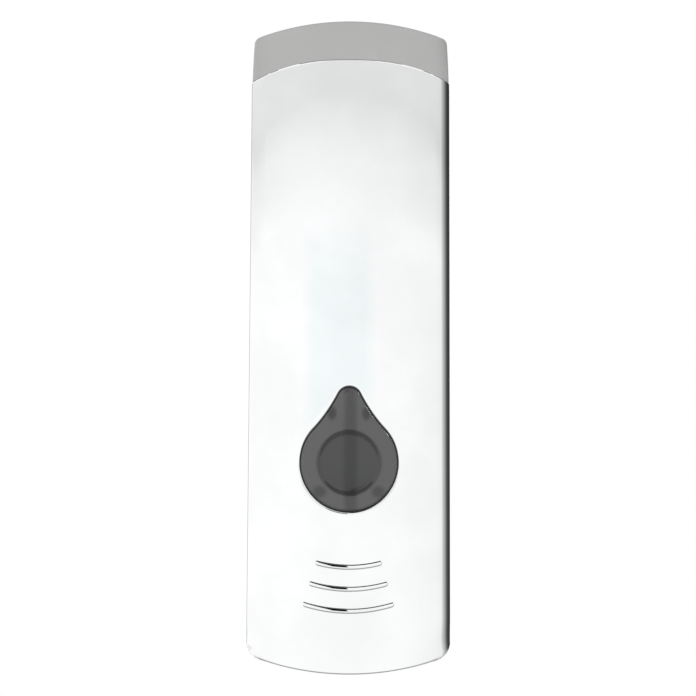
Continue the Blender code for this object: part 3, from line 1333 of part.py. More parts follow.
def make_hose(look):
    """The soft tube from the outlet cap's barb forward and down to the nozzle's barb."""
    high = BUTTON_Z + OUTLET_CAP_FLOOR - FIT_GAP
    low = nozzle_shelf_z() + 2 * FIT_GAP + NOZZLE_NUT_HEIGHT
    start, end = Vector((0, VALVE_Y, high - HOSE_OVERLAP)), Vector((0, NOZZLE_Y, low + HOSE_OVERLAP))
    pull = Vector((0, 0, (high - low) * HOSE_PULL_SHARE))
    bend = []
    steps = STEPS_ARCH
    for i in range(steps + 1):
        t = i / steps
        point = start * (1 - t) ** 3 + (start - pull) * (3 * t * (1 - t) ** 2)
        bend.append(point + (end + pull) * (3 * t**2 * (1 - t)) + end * t**3)
    top, foot = Vector((0, VALVE_Y, high)), Vector((0, NOZZLE_Y, low))
    hose = tube("outlet_hose", [top] + bend + [foot], HOSE_RADIUS, look)
    reach = Vector((0, 0, CUT_OVERRUN))
    bore = tube("hose_bore", [top + reach] + bend + [foot - reach], HOSE_BORE_RADIUS, None)
    boolean(hose, bore)
    return hose


def hang_on_axis(name, place, pieces):
    """Parent pieces that move together to an empty on their joint's axis, without moving them."""
    axis = bpy.data.objects.new(name, None)
    axis.location = place
    bpy.data.collections[COLLECTION_NAME].objects.link(axis)
    bpy.context.view_layer.update()
    for piece in pieces:
        item = bpy.data.objects[piece]
        item.parent = axis
        item.matrix_parent_inverse = axis.matrix_world.inverted()


def materials():
    return {
        "grey": material("satin_grey_abs", (0.42, 0.43, 0.43), 0.35),
        "chrome": material("chrome_plate", (0.90, 0.91, 0.92), 0.06, 1.0),
        "foam": material("foam_tape", (0.86, 0.86, 0.83), 0.9),
        "smoke": material("smoke_acrylic", (0.08, 0.08, 0.085), 0.12, 0.0, 0.85),
        "black": material("black_nylon", (0.03, 0.03, 0.03), 0.45),
        "clear": material("natural_polypropylene", (0.86, 0.89, 0.90), 0.3, 0.0, 0.5),
        "white": material("white_acetal", (0.88, 0.88, 0.86), 0.35),
        "rubber": material("black_nitrile", (0.02, 0.02, 0.02), 0.6),
        "silicone": material("clear_silicone", (0.80, 0.83, 0.85), 0.35, 0.0, 0.7),
        "steel": material("stainless_steel", (0.62, 0.62, 0.62), 0.28, 1.0),
    }


def main():
    clear_scene()
    collection(COLLECTION_NAME)
    collection(CUTTER_COLLECTION_NAME)
    looks = materials()
    make_front_cover(looks["chrome"])
    make_lid(looks["grey"])
    make_hinge_pins(looks["steel"])
    make_back_housing(looks["grey"])
    make_tape_pads(looks["foam"])
    make_chamber(looks["clear"])
    make_neck_seal(looks["rubber"])
    make_pump_body(looks["white"])
    make_valves(looks["white"], looks["steel"])
    make_end_cap(looks["white"])
    make_rod_wiper(looks["rubber"])
    make_piston(looks["white"], looks["silicone"])
    make_return_spring(looks["steel"])
    make_pump_bracket(looks["black"])
    make_screws(looks["steel"])
    make_push_button(looks["smoke"])
    make_button_carrier(looks["black"])
    make_nozzle(looks["white"], looks["white"])
    make_hose(looks["silicone"])
    hang_on_axis("lid_axis", (0, LID_PIVOT_Y, LID_PIVOT_Z), LID_PIECES)
    hang_on_axis("button_axis", (0, FRONT_Y, BUTTON_Z), BUTTON_PIECES)


main()
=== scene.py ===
"""Looks of a wall-mounted soap dispenser: satin lid, bright bowed cover, smoke teardrop button.

Run as a script. Metres, +Z up, the wall is y = 0 and the front faces -Y.
"""

import json
import math

import bmesh
import bpy
from bpy.props import FloatProperty, FloatVectorProperty, PointerProperty
from mathutils import Matrix, Vector


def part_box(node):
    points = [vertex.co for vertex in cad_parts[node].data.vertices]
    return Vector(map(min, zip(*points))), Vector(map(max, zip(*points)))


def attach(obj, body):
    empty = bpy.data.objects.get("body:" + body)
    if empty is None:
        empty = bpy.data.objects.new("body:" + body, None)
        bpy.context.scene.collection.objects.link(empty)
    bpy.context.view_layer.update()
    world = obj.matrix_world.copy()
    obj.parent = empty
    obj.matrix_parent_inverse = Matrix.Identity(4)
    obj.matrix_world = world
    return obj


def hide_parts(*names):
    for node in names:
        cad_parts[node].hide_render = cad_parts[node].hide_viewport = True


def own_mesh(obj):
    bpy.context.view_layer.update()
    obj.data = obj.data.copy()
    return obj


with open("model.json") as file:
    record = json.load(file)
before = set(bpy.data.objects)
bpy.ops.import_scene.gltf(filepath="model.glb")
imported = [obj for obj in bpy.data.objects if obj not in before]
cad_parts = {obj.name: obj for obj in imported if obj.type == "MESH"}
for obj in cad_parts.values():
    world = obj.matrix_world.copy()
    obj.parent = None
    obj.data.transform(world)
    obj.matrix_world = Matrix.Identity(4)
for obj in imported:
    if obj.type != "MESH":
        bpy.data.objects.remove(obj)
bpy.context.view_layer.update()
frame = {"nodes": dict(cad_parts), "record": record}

bl_info = {
    "name": "Soap dispenser looks",
    "version": (1, 0, 0),
    "blender": (4, 5, 0),
    "location": "View3D > Sidebar > Dispenser",
    "description": "Builds the pieces, finishes and studio of a wall-mounted soap dispenser",
    "category": "Object",
}

# Outside form, as in the part's source
BODY_HEIGHT = 0.2586
BODY_WIDTH_LOW = 0.0813
BODY_WIDTH_HIGH = 0.0782
TOP_DRAW = 0.0014
TOP_DRAW_HEIGHT = 0.0296
BODY_DEPTH = 0.0750
TOP_ARCH_RADIUS = 0.112
BOTTOM_ARCH_RADIUS = 0.117
TOP_CORNER_RADIUS = 0.0032
BOTTOM_CORNER_RADIUS = 0.0075
FRONT_BOW_RADIUS = 0.090
SIDE_FILLET_RADIUS = 0.0090
TOP_FILLET = 0.0010
HOUSING_DEPTH = 0.0220
FIT_GAP = 0.0003
LOOSE_GAP = 0.0008
# Lid
LID_CENTRE_HEIGHT = 0.0155
LID_SEAM_FALL = 0.0087
LID_SEAM_CURVE = 2.5
LID_STEP_IN = 0.0002
LID_REAR_Y = -0.0058
LID_PIVOT_Y = -0.0165
LID_PIVOT_DROP = 0.0122
LID_SKIRT_SWING_RADIUS = 0.0108
HINGE_EAR_THICKNESS = 0.0030
HINGE_EAR_RADIUS = 0.0040
HINGE_EAR_INSET = 0.0062
LID_BOSS_RADIUS = 0.0038
# Cover
RIB_WIDTHS = (0.0267, 0.0316, 0.0365)
RIB_SAGS = (0.0018, 0.0023, 0.0028)
RIB_PITCH = 0.0082
RIB_LOWEST_ABOVE_BOTTOM = 0.0279
NOZZLE_HOLE_RADIUS = 0.0105
NOZZLE_Y = -0.0540
# Button
BUTTON_ABOVE_BOTTOM = 0.0838
BUTTON_RADIUS = 0.0191
BUTTON_TIP_RADIUS = 0.0045
BUTTON_TIP_RISE = 0.0253
BUTTON_FLANK_HOLLOW = 0.0009
BUTTON_CROWN = 0.0004
BUTTON_SKIRT_DEPTH = 0.0090
BUTTON_FACE_THICKNESS = 0.0022
BUTTON_WALL = 0.0014
BUTTON_FLANGE_WIDTH = 0.0014
BUTTON_FLANGE_THICKNESS = 0.0014
BUTTON_OPENING_GAP = 0.0004
FINGER_DISH_RADIUS = 0.0131
DISH_WALL_WIDTH = 0.0018

Z_TOP = BODY_HEIGHT / 2
Z_BOTTOM = -BODY_HEIGHT / 2
SEAM_CENTRE_Z = Z_TOP - LID_CENTRE_HEIGHT
SEAM_SIDE_Z = SEAM_CENTRE_Z - LID_SEAM_FALL
LID_PIVOT_Z = Z_TOP - LID_PIVOT_DROP
BUTTON_Z = Z_BOTTOM + BUTTON_ABOVE_BOTTOM
FRONT_Y = -BODY_DEPTH

# Steps and rings of the meshes
STEPS_SIDE = 84
STEPS_LID_SIDE = 8
STEPS_CORNER = 10
STEPS_ACROSS = 56
STEPS_FILLET = 8
STEPS_DEPTH = 16
STEPS_ROUND = 96
HOLE_RINGS = 6
EDGE_STEPS = 4
FACE_RINGS = 10
DISH_RINGS = 12
LIP_STEPS = 5
HOLLOW_RINGS = 8
WIRE_POINTS = 40
WIRE_SIDES = 12
# Springs
SPRING_WIRE_RADIUS = 0.0005
SPRING_COIL_RADIUS = 0.0064
SPRING_TURNS = 5.0
OUTLET_WIRE_RADIUS = 0.00028
OUTLET_COIL_RADIUS = 0.0021
OUTLET_TURNS = 4.0
WIRE_CLOSED_PITCH = 1.05
WIRE_LOOK_STEP = 0.25

# Studio
FLOOR_Z = -0.19
FLOOR_REACH = 0.6
FLOOR_LEVEL = 0.9
FLOOR_ROUGHNESS = 0.8
LIGHT_LEVEL = 0.8
LAMPS = (
    ("key", (-0.9, -1.4, 0.35), (1.2, 1.2), 7.0),
    ("fill", (0.9, -1.4, 0.4), (1.2, 1.2), 4.0),
    ("back", (0.2, 1.3, 0.9), (1.0, 1.0), 4.0),
)
CAMERA_LENS = 284.5
CAMERA_SENSOR = 36.0
CAMERA_ROLL = -0.25
CAMERA_X = -0.0006
CAMERA_Y = -2.25
CAMERA_Z = -0.0001
# The room that mirrors see: (place, level) stops round it and up it, and what stands in it
AROUND_STOPS = (
    (0.0, 0.035), (1.0, 0.035), (0.045, 0.3), (0.07, 1.0), (0.40, 1.0), (0.56, 0.97),
    (0.64, 0.92), (0.715, 0.87), (0.735, 0.62), (0.775, 0.38), (0.82, 0.12), (0.86, 0.045),
)
AROUND_FADE = (0.62, 0.48)
HEIGHT_STOPS = (
    (0.0, 0.38), (1.0, 0.10), (0.25, 0.42), (0.42, 1.0), (0.5105, 1.0), (0.518, 0.90),
    (0.5206, 0.88), (0.5213, 0.76), (0.5285, 0.80), (0.56, 1.0), (0.84, 1.0), (0.87, 0.11),
)
HEIGHT_BOW = 11.0
HEIGHT_BOW_LIMIT = 1.2
ROOM_LEVEL = 1.06
TINT = (0.915, 0.965, 0.965)
TINT_AROUND = (-0.060, 0.030)
TINT_SOFTNESS = 0.022
TINT_HEIGHT = (0.026, 0.010)
FIGURE = (-0.13, -0.005)
FIGURE_LEVEL = 0.004
FIGURE_SOFTNESS = 0.01
FIGURE_START = (0.08, 0.11)
SOFTBOX_RISE = (0.50, 0.56)
SOFTBOX_SOFTNESS = 0.02
SOFTBOX_DEPTH = (-0.04, 0.5)
SOFTBOX_LEVEL = 24.0

# Form and finer details of the looks alone
BOTTOM_FILLET = 0.0006
LID_SEAM_GAP = 0.00016
SOLVE_ROUNDS = 8
CORNER_ROUNDS = 12
LEAST_MITRE = 0.5
HOLE_CROWD = 1.3
TOP_FACE_CORNER = 0.0012
BOTTOM_FACE_CORNER = 0.0045
CORNER_REACH = 0.0110
CORNER_OUTSIDE_SHARE = 0.99
CORNER_RELAX = 0.5
CORNER_RELAX_ROUNDS = 30
COLLAR_SHARES = (0.34, 0.67, 1.0)
SEAM_EASE = 0.00005
SEAM_EASE_MIDDLE = (0.009, 0.015)
SEAM_ROWS = (0.00026, 0.00042)
LID_DEPTH_CROWD = 1.6
OPENING_MARGIN = 0.0045
COVER_WALL = 0.0022
LID_WALL = 0.0020
PIN_HOLE_RADIUS = 0.0018
RIB_STEPS = 60
RIB_CAP_STEPS = 8
RIB_CAP_SHARE = 0.98
RIB_SECTION_STEPS = 14
RIB_CREST = -0.3
RIB_FULLNESS = 2.4
RIB_SINK = 0.00003
DISH_REACH = FINGER_DISH_RADIUS - DISH_WALL_WIDTH
DISH_EDGE_RISE = 0.0003
DISH_LIP = 0.0004
BUTTON_SHARP_ANGLE = 50.0

# Finishes
COARSE_GRAIN = 0.23
DRIFT_SHADE = 0.94
WEAR_AND_SHADE_SIZE = 6
DUST_SHARE = 4
DUST_ROUGHNESS = 0.3
LINE_ROUGHNESS = 0.12
BUMP_REACH = 0.5


# Form


def half_width(z):
    rise = (z - Z_BOTTOM) / BODY_HEIGHT
    draw = max(z - Z_TOP + TOP_DRAW_HEIGHT, 0) / TOP_DRAW_HEIGHT
    return (BODY_WIDTH_LOW + (BODY_WIDTH_HIGH - BODY_WIDTH_LOW) * rise) / 2 - TOP_DRAW * draw**2


def face_half_width(z, inset):
    spread = (FRONT_BOW_RADIUS - inset) / (FRONT_BOW_RADIUS - SIDE_FILLET_RADIUS)
    return (half_width(z) - SIDE_FILLET_RADIUS) * spread


def front_y(x, inset=0.0):
    return FRONT_Y + FRONT_BOW_RADIUS - math.sqrt((FRONT_BOW_RADIUS - inset) ** 2 - x**2)


def plan_y(x, z, inset):
    """Depth of the form's plan: the bowed front, and past its ends the fillets to the sides."""
    fillet = SIDE_FILLET_RADIUS - inset
    middle_x = half_width(z) - inset - fillet
    if abs(x) <= face_half_width(z, inset):
        return front_y(x, inset)
    reach = FRONT_BOW_RADIUS - inset - fillet
    middle_y = FRONT_Y + FRONT_BOW_RADIUS - math.sqrt(reach**2 - middle_x**2)
    return middle_y - math.sqrt(max(fillet**2 - (abs(x) - middle_x) ** 2, 0))


def seam_z(x):
    edge = half_width(SEAM_SIDE_Z)
    return SEAM_CENTRE_Z - LID_SEAM_FALL * min(abs(x) / edge, 1) ** LID_SEAM_CURVE


def arc_points(centre_a, centre_b, radius, start, end, steps):
    turns = [start + (end - start) * i / steps for i in range(steps + 1)]
    return [(centre_a + radius * math.cos(t), centre_b + radius * math.sin(t)) for t in turns]


def cubic(start, first, second, end, t):
    """A point on a cubic curve from its two ends and the two points that pull it."""
    back = 1 - t
    return start * back**3 + first * (3 * t * back**2) + second * (3 * t**2 * back) + end * t**3


def corner_centre(width_at, arch_radius, corner_radius, is_top):
    arch_z = Z_TOP - TOP_ARCH_RADIUS if is_top else Z_BOTTOM + BOTTOM_ARCH_RADIUS
    z = Z_TOP if is_top else Z_BOTTOM
    for _ in range(CORNER_ROUNDS):
        x = width_at(z) - corner_radius
        fall = math.sqrt((arch_radius - corner_radius) ** 2 - x**2)
        z = arch_z + fall if is_top else arch_z - fall
    return x, z, arch_z


def side_shares(run, steps):
    """Shares of a side's run: two close rows along the seam, then even ones."""
    close = [0.0] + [row / run for row in SEAM_ROWS]
    rest = steps - len(close) + 1
    return close + [close[-1] + (1 - close[-1]) * i / rest for i in range(1, rest)]


def plan_way(x, y, z):
    """The way out of the form's plan at a point on its skin."""
    if abs(x) <= face_half_width(z, 0.0):
        return Vector((x, y - FRONT_Y - FRONT_BOW_RADIUS, 0)).normalized()
    middle_x = half_width(z) - SIDE_FILLET_RADIUS
    reach = FRONT_BOW_RADIUS - SIDE_FILLET_RADIUS
    middle_y = FRONT_Y + FRONT_BOW_RADIUS - math.sqrt(reach**2 - middle_x**2)
    return Vector((math.copysign(abs(x) - middle_x, x), min(y - middle_y, 0), 0)).normalized()


def half_outline(width_at, arch_inset, corner, is_top, open_z, side_steps):
    """The outline's run from its open end at the left, round the closed end, to the open end at the right.

    It comes as three runs that share their ends: a side, the closed end and the other side.
    """
    radius = (TOP_ARCH_RADIUS if is_top else BOTTOM_ARCH_RADIUS) - arch_inset
    x, z, arch_z = corner_centre(width_at, radius, corner, is_top)
    turn = math.atan2(z - arch_z, x)
    rounding = arc_points(x, z, corner, 0, turn, STEPS_CORNER)
    half = STEPS_CORNER // 2
    side = []
    for share in side_shares(abs(z - open_z), side_steps):
        level = open_z + (z - open_z) * share
        side.append((width_at(level), level))
    side += rounding[: half + 1]
    over = arc_points(0, arch_z, radius, turn, math.copysign(math.pi, turn) - turn, STEPS_ACROSS)
    end = rounding[half:-1] + over + [(-a, b) for a, b in reversed(rounding[half:-1])]
    left = [(-a, b) for a, b in side]
    return left, list(reversed(end)), list(reversed(side))


def end_weights(side_steps):
    """1 where the side's fillet rules and 0 where the closed end's does, along a half outline."""
    fade = [0.5 - 0.5 * math.cos(math.pi * i / STEPS_CORNER) for i in range(STEPS_CORNER + 1)]
    half = STEPS_CORNER // 2
    down = [1.0] * side_steps + fade[half:][::-1]
    across = fade[: half + 1][::-1] + [0.0] * (STEPS_ACROSS - 1) + fade[: half + 1]
    return down[:-1] + across[:-1] + list(reversed(down))


def fillet_point(outer, outer_y, inner, inset, step):
    inner_y = front_y(inner[0], inset)
    across = inner[0] - outer[0]
    slope = inner[0] / math.sqrt((FRONT_BOW_RADIUS - inset) ** 2 - inner[0] ** 2)
    knee_y = inner_y - slope * across
    run = math.hypot(across, inner[1] - outer[1])
    turn = math.pi / 2 - math.atan2(abs(knee_y - inner_y), run)
    pull = 4 / 3 * math.tan(turn / 4) / math.tan(turn / 2)
    start = Vector((outer[0], outer_y, outer[1]))
    knee = Vector((outer[0], knee_y, outer[1]))
    end = Vector((inner[0], inner_y, inner[1]))
    return cubic(start, start.lerp(knee, pull), end.lerp(knee, pull), end, step)


def offset_outline(points, distance):
    moved = []
    count = len(points)
    for i in range(count):
        before = Vector(points[i]) - Vector(points[i - 1])
        after = Vector(points[(i + 1) % count]) - Vector(points[i])
        run = (before.normalized() + after.normalized()).normalized()
        reach = distance / max(run.dot(after.normalized()), LEAST_MITRE)
        moved.append((points[i][0] + run.y * reach, points[i][1] - run.x * reach))
    return moved


def teardrop(offset=0.0):
    """The button's outline, anticlockwise from the middle of its foot, finely stepped."""
    lean = math.asin((BUTTON_RADIUS - BUTTON_TIP_RADIUS) / BUTTON_TIP_RISE)
    hollow_turn = 4 * BUTTON_FLANK_HOLLOW / BUTTON_TIP_RISE
    tip_z = BUTTON_Z + BUTTON_TIP_RISE
    start, end = lean + hollow_turn, lean - hollow_turn
    foot = arc_points(0, BUTTON_Z, BUTTON_RADIUS, -math.pi / 2, start, STEPS_ROUND)
    tip = arc_points(0, tip_z, BUTTON_TIP_RADIUS, end, math.pi / 2, STEPS_ROUND // 4)
    low, high = Vector(foot[-1]), Vector(tip[0])
    pull = (high - low).length / 3
    first = low + Vector((-math.sin(start), math.cos(start))) * pull
    second = high - Vector((-math.sin(end), math.cos(end))) * pull
    flank = []
    for i in range(1, STEPS_ROUND // 4):
        point = cubic(low, first, second, high, i / (STEPS_ROUND // 4))
        flank.append((point.x, point.y))
    right = foot + flank + tip
    outline = right + [(-x, z) for x, z in reversed(right[1:-1])]
    return offset_outline(outline, offset) if offset else outline


def resample(outline, count):
    """As many points, evenly spaced along a closed outline from its first point."""
    closed = outline + outline[:1]
    runs = [0.0]
    for a, b in zip(closed, closed[1:]):
        runs.append(runs[-1] + math.dist(a, b))
    points = []
    j = 0
    for i in range(count):
        want = runs[-1] * i / count
        while runs[j + 1] < want:
            j += 1
        share = (want - runs[j]) / (runs[j + 1] - runs[j])
        points.append(tuple(Vector(closed[j]).lerp(Vector(closed[j + 1]), share)))
    return points


# Meshes


def bridge(mesh, rings, closed=True):
    for low, high in zip(rings, rings[1:]):
        count = len(low)
        for i in range(count if closed else count - 1):
            j = (i + 1) % count
            mesh.faces.new((low[i], low[j], high[j], high[i]))


def piece(name, mesh, body, slot):
    """Make an object of a bmesh, dress it and let it ride."""
    bmesh.ops.recalc_face_normals(mesh, faces=mesh.faces)
    data = bpy.data.meshes.new(name)
    mesh.to_mesh(data)
    mesh.free()
    data.shade_smooth()
    made = bpy.data.objects.new(name, data)
    bpy.context.scene.collection.objects.link(made)
    data.materials.append(look_of(slot))
    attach(made, body)
    return made


def round_edges(item, width, angle=40.0, segments=3):
    bevel = item.modifiers.new("round edges", "BEVEL")
    bevel.width = width
    bevel.segments = segments
    bevel.limit_method = "ANGLE"
    bevel.angle_limit = math.radians(angle)
    bevel.harden_normals = True


def thicken(item, wall):
    solid = item.modifiers.new("wall", "SOLIDIFY")
    solid.thickness = wall
    solid.offset = -1.0
    solid.use_even_offset = True
    solid.use_quality_normals = True


def patch(mesh, left, right, open_row, end, y_at):
    """Fill between two side runs, an open row and an end row with rows of quads, and return them."""
    across = len(end) - 1
    rows = [open_row]
    for i in range(1, len(left) - 1):
        v = (left[i].co.z - left[0].co.z) / (left[-1].co.z - left[0].co.z)
        row = [left[i]]
        for j in range(1, across):
            u = (end[j].co.x / abs(end[0].co.x) + 1) / 2
            point = left[i].co * (1 - u) + right[i].co * u + open_row[j].co * (1 - v) + end[j].co * v
            point -= (open_row[0].co * (1 - u) + open_row[-1].co * u) * (1 - v)
            point -= (end[0].co * (1 - u) + end[-1].co * u) * v
            row.append(mesh.verts.new((point.x, y_at(point.x), point.z)))
        rows.append(row + [right[i]])
    rows.append(end)
    bridge(mesh, rows, closed=False)
    return rows


def grid_hole(mesh, grid, rows, cols, outline, lift, flat):
    """Cut a block of cells out of a grid and fill it round an outline with rings of quads.

    It returns the vertices on the outline, which start where the outline does.
    """
    (row_low, row_high), (col_low, col_high) = rows, cols
    middle = (col_low + col_high) // 2
    loop = [grid[row_high][c] for c in range(middle, col_high)]
    loop += [grid[r][col_high] for r in range(row_high, row_low, -1)]
    loop += [grid[row_low][c] for c in range(col_high, col_low, -1)]
    loop += [grid[r][col_low] for r in range(row_low, row_high)]
    loop += [grid[row_high][c] for c in range(col_low, middle)]
    inside = [grid[r][c] for r in range(row_low + 1, row_high) for c in range(col_low + 1, col_high)]
    bmesh.ops.delete(mesh, geom=inside, context="VERTS")
    targets = [Vector(p) for p in resample(outline, len(loop))]
    rings = [loop]
    for k in range(1, HOLE_RINGS + 1):
        share = 1 - (1 - k / HOLE_RINGS) ** HOLE_CROWD
        ring = [flat(vertex.co).lerp(target, share) for vertex, target in zip(loop, targets)]
        rings.append([mesh.verts.new(lift(point)) for point in ring])
    bridge(mesh, rings)
    return rings[-1]


def nearest(values, want):
    """The place of the value closest to the wanted one."""
    return min(range(len(values)), key=lambda i: abs(values[i] - want))


def split_edge(edge, down, across):
    """A ring's left side, closed end and right side, both sides from their open ends."""
    return edge[: down + 1], edge[down : down + across + 1], edge[down + across :][::-1]


def open_row(mesh, left, right, end, place):
    """A row across the open end, as finely stepped as the closed end."""
    row = [left[0]]
    for vertex in end[1:-1]:
        row.append(mesh.verts.new(place(vertex.co.x / abs(end[0].co.x) * abs(left[0].co.x))))
    return row + [right[0]]


def shell_skin(mesh, is_top, inset, side_steps, back_y):
    """The outer skin of the lid (is_top) or of the cover, open along the seam and at its back.

    It returns the rows of its bowed front, from the seam to the closed end, and the rings that run
    from one side round the closed end to the other, from the back to the front.
    """
    end_fillet = max((TOP_FILLET if is_top else BOTTOM_FILLET) - inset, FIT_GAP)
    corner = max((TOP_CORNER_RADIUS if is_top else BOTTOM_CORNER_RADIUS) - inset, FIT_GAP)
    inner_corner = TOP_FACE_CORNER if is_top else BOTTOM_FACE_CORNER
    shift = LID_SEAM_GAP if is_top else 0.0

    def runs_of(width_at, arch_inset, rounding):
        open_z = SEAM_SIDE_Z
        for _ in range(SOLVE_ROUNDS):
            open_z = seam_z(width_at(open_z)) + shift
        return half_outline(width_at, arch_inset, rounding, is_top, open_z, side_steps)

    outer_runs = runs_of(lambda z: half_width(z) - inset, inset, corner)
    inner_runs = runs_of(lambda z: face_half_width(z, inset), inset + end_fillet, inner_corner)
    outer = outer_runs[0][:-1] + outer_runs[1][:-1] + outer_runs[2]
    inner = inner_runs[0][:-1] + inner_runs[1][:-1] + inner_runs[2]
    starts = []
    for point, weight in zip(outer, end_weights(side_steps)):
        starts.append(plan_y(point[0], point[1], inset) + (1 - weight) * end_fillet)
    rings = []
    for i in range(STEPS_DEPTH):
        share = (i / STEPS_DEPTH) ** (LID_DEPTH_CROWD if is_top else 1.0)
        ring = [mesh.verts.new((x, back_y + (y - back_y) * share, z)) for (x, z), y in zip(outer, starts)]
        rings.append(ring)
    for i in range(STEPS_FILLET + 1):
        ring = []
        for a, y, b in zip(outer, starts, inner):
            ring.append(fillet_point(a, y, b, inset, i / STEPS_FILLET))
        for end, way in ((0, 1), (len(ring) - 1, -1)):
            miss = seam_z(ring[end].x) + shift - ring[end].z
            low, high = ring[end].z, ring[end + way * side_steps].z
            for k in range(side_steps):
                ring[end + way * k].z += miss * (high - ring[end + way * k].z) / (high - low)
        rings.append([mesh.verts.new(point) for point in ring])
    bridge(mesh, rings, closed=False)
    down, across = len(inner_runs[0]) - 1, len(inner_runs[1]) - 1
    left, end, right = split_edge(rings[-1], down, across)
    seam = open_row(mesh, left, right, end, lambda x: (x, front_y(x, inset), seam_z(x) + shift))
    rows = patch(mesh, left, right, seam, end, lambda x: front_y(x, inset))
    start, full = SEAM_EASE_MIDDLE
    for vertex in set(seam) | {ring[k] for ring in rings for k in (0, -1)}:
        share = min(max((abs(vertex.co.x) - start) / (full - start), 0), 1)
        vertex.co -= plan_way(*vertex.co) * SEAM_EASE * share
    return rows, rings


# Pieces


def blend_corners(cover):
    """Relax the skin where the wide side fillets run into the sharp foot."""
    corner_x, corner_z, _ = corner_centre(half_width, BOTTOM_ARCH_RADIUS, BOTTOM_CORNER_RADIUS, False)
    near = cover.vertex_groups.new(name="corners")
    for vertex in cover.data.vertices:
        x, y, z = vertex.co
        if y > FRONT_Y + BODY_DEPTH / 2:
            continue
        reach = math.hypot(abs(x) - corner_x, z - corner_z)
        away = reach / CORNER_REACH
        outside = reach > BOTTOM_CORNER_RADIUS * CORNER_OUTSIDE_SHARE
        if away < 1 and not (outside and abs(x) > corner_x and z < corner_z):
            near.add([vertex.index], min(1.0, 2 - 2 * away), "REPLACE")
    relax = cover.modifiers.new("corners", "SMOOTH")
    relax.vertex_group = near.name
    relax.factor = CORNER_RELAX
    relax.iterations = CORNER_RELAX_ROUNDS


def build_cover(sizes):
    """The bright shell, with the teardrop opening's rolled lip and the nozzle's hole in its floor."""
    mesh = bmesh.new()
    back_y = -HOUSING_DEPTH - FIT_GAP
    rows, rings = shell_skin(mesh, False, 0.0, STEPS_SIDE, back_y)
    edge = sizes.lip_radius
    heights = [row[len(row) // 2].co.z for row in rows]
    widths = [vertex.co.x for vertex in rows[len(rows) // 2]]
    margin = BUTTON_RADIUS + OPENING_MARGIN
    high = nearest(heights, BUTTON_Z + BUTTON_TIP_RISE + BUTTON_TIP_RADIUS + OPENING_MARGIN)
    low = nearest(heights, BUTTON_Z - margin)
    reach = nearest(widths, margin)
    cols = (len(widths) - 1 - reach, reach)
    outline = teardrop(BUTTON_OPENING_GAP + edge)
    ring = grid_hole(
        mesh,
        rows,
        (high, low),
        cols,
        outline,
        lambda p: (p.x, front_y(p.x), p.y),
        lambda co: Vector((co.x, co.z)),
    )
    lip = [ring]
    for k in range(1, EDGE_STEPS + 1):
        turn = math.pi / 2 * k / EDGE_STEPS
        points = resample(teardrop(BUTTON_OPENING_GAP + edge * (1 - math.sin(turn))), len(ring))
        depth = edge * (1 - math.cos(turn))
        lip.append([mesh.verts.new((x, front_y(x) + depth, z)) for x, z in points])
    collar_y = FRONT_Y + BUTTON_SKIRT_DEPTH - BUTTON_FLANGE_THICKNESS - FIT_GAP
    points = [vertex.co.copy() for vertex in lip[-1]]
    for share in COLLAR_SHARES:
        lip.append([mesh.verts.new((p.x, p.y + (collar_y - p.y) * share, p.z)) for p in points])
    bridge(mesh, lip)
    side = (len(rings[0]) - len(rows[-1])) // 2
    floor = [ring[side : side + len(rows[-1])] for ring in rings[: STEPS_DEPTH + 1]]
    depths = [row[len(row) // 2].co.y for row in floor]
    margin = NOZZLE_HOLE_RADIUS + 2 * LID_WALL
    near, far = nearest(depths, NOZZLE_Y + margin), nearest(depths, NOZZLE_Y - margin)
    reach = nearest([vertex.co.x for vertex in floor[0]], margin)
    floor_arch = Z_BOTTOM + BOTTOM_ARCH_RADIUS
    grid_hole(
        mesh,
        floor,
        (near, far),
        (len(floor[0]) - 1 - reach, reach),
        arc_points(0, NOZZLE_Y, NOZZLE_HOLE_RADIUS, -math.pi / 2, 3 * math.pi / 2, STEPS_ROUND)[:-1],
        lambda p: (p.x, p.y, floor_arch - math.sqrt(BOTTOM_ARCH_RADIUS**2 - p.x**2)),
        lambda co: Vector((co.x, co.y)),
    )
    cover = piece("cover_shell", mesh, "housing", "chrome_plate")
    blend_corners(cover)
    thicken(cover, COVER_WALL)
    round_edges(cover, sizes.edge_radius)
    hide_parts("front_cover")


def build_ribs(sizes):
    """Three raised, sagging beads, fuller than half-round and crested low, with rounded ends."""
    mesh = bmesh.new()
    radius = sizes.rib_thickness / 2
    caps = [math.pi / 2 * i / RIB_CAP_STEPS * RIB_CAP_SHARE for i in range(RIB_CAP_STEPS + 1)]
    section = []
    for side, turns in ((1, range(RIB_SECTION_STEPS, 0, -1)), (-1, range(RIB_SECTION_STEPS + 1))):
        for turn in (math.pi / 2 * i / RIB_SECTION_STEPS for i in turns):
            away = max(math.sin(turn), 0) ** (2 / RIB_FULLNESS)
            lift = max(math.cos(turn), 0) ** (2 / RIB_FULLNESS)
            section.append((RIB_CREST + (side - RIB_CREST) * away, lift))
    for i, (width, sag) in enumerate(zip(RIB_WIDTHS, RIB_SAGS)):
        middle_z = Z_BOTTOM + RIB_LOWEST_ABOVE_BOTTOM + RIB_PITCH * (len(RIB_WIDTHS) - 1 - i)
        reach = width / 2 - radius
        stations = [(-reach - radius * math.sin(t), math.cos(t)) for t in reversed(caps)]
        stations += [(reach * (2 * j / RIB_STEPS - 1), 1.0) for j in range(1, RIB_STEPS)]
        stations += [(reach + radius * math.sin(t), math.cos(t)) for t in caps]
        rings = []
        for x, swell in stations:
            z = middle_z - sag * (1 - (2 * x / width) ** 2)
            ring = []
            for a, b in section:
                lift = sizes.rib_height * swell * b
                ring.append(mesh.verts.new((x, front_y(x) - lift + RIB_SINK, z + radius * swell * a)))
            rings.append(ring)
        bridge(mesh, rings, closed=False)
    piece("cover_ribs", mesh, "housing", "chrome_plate")


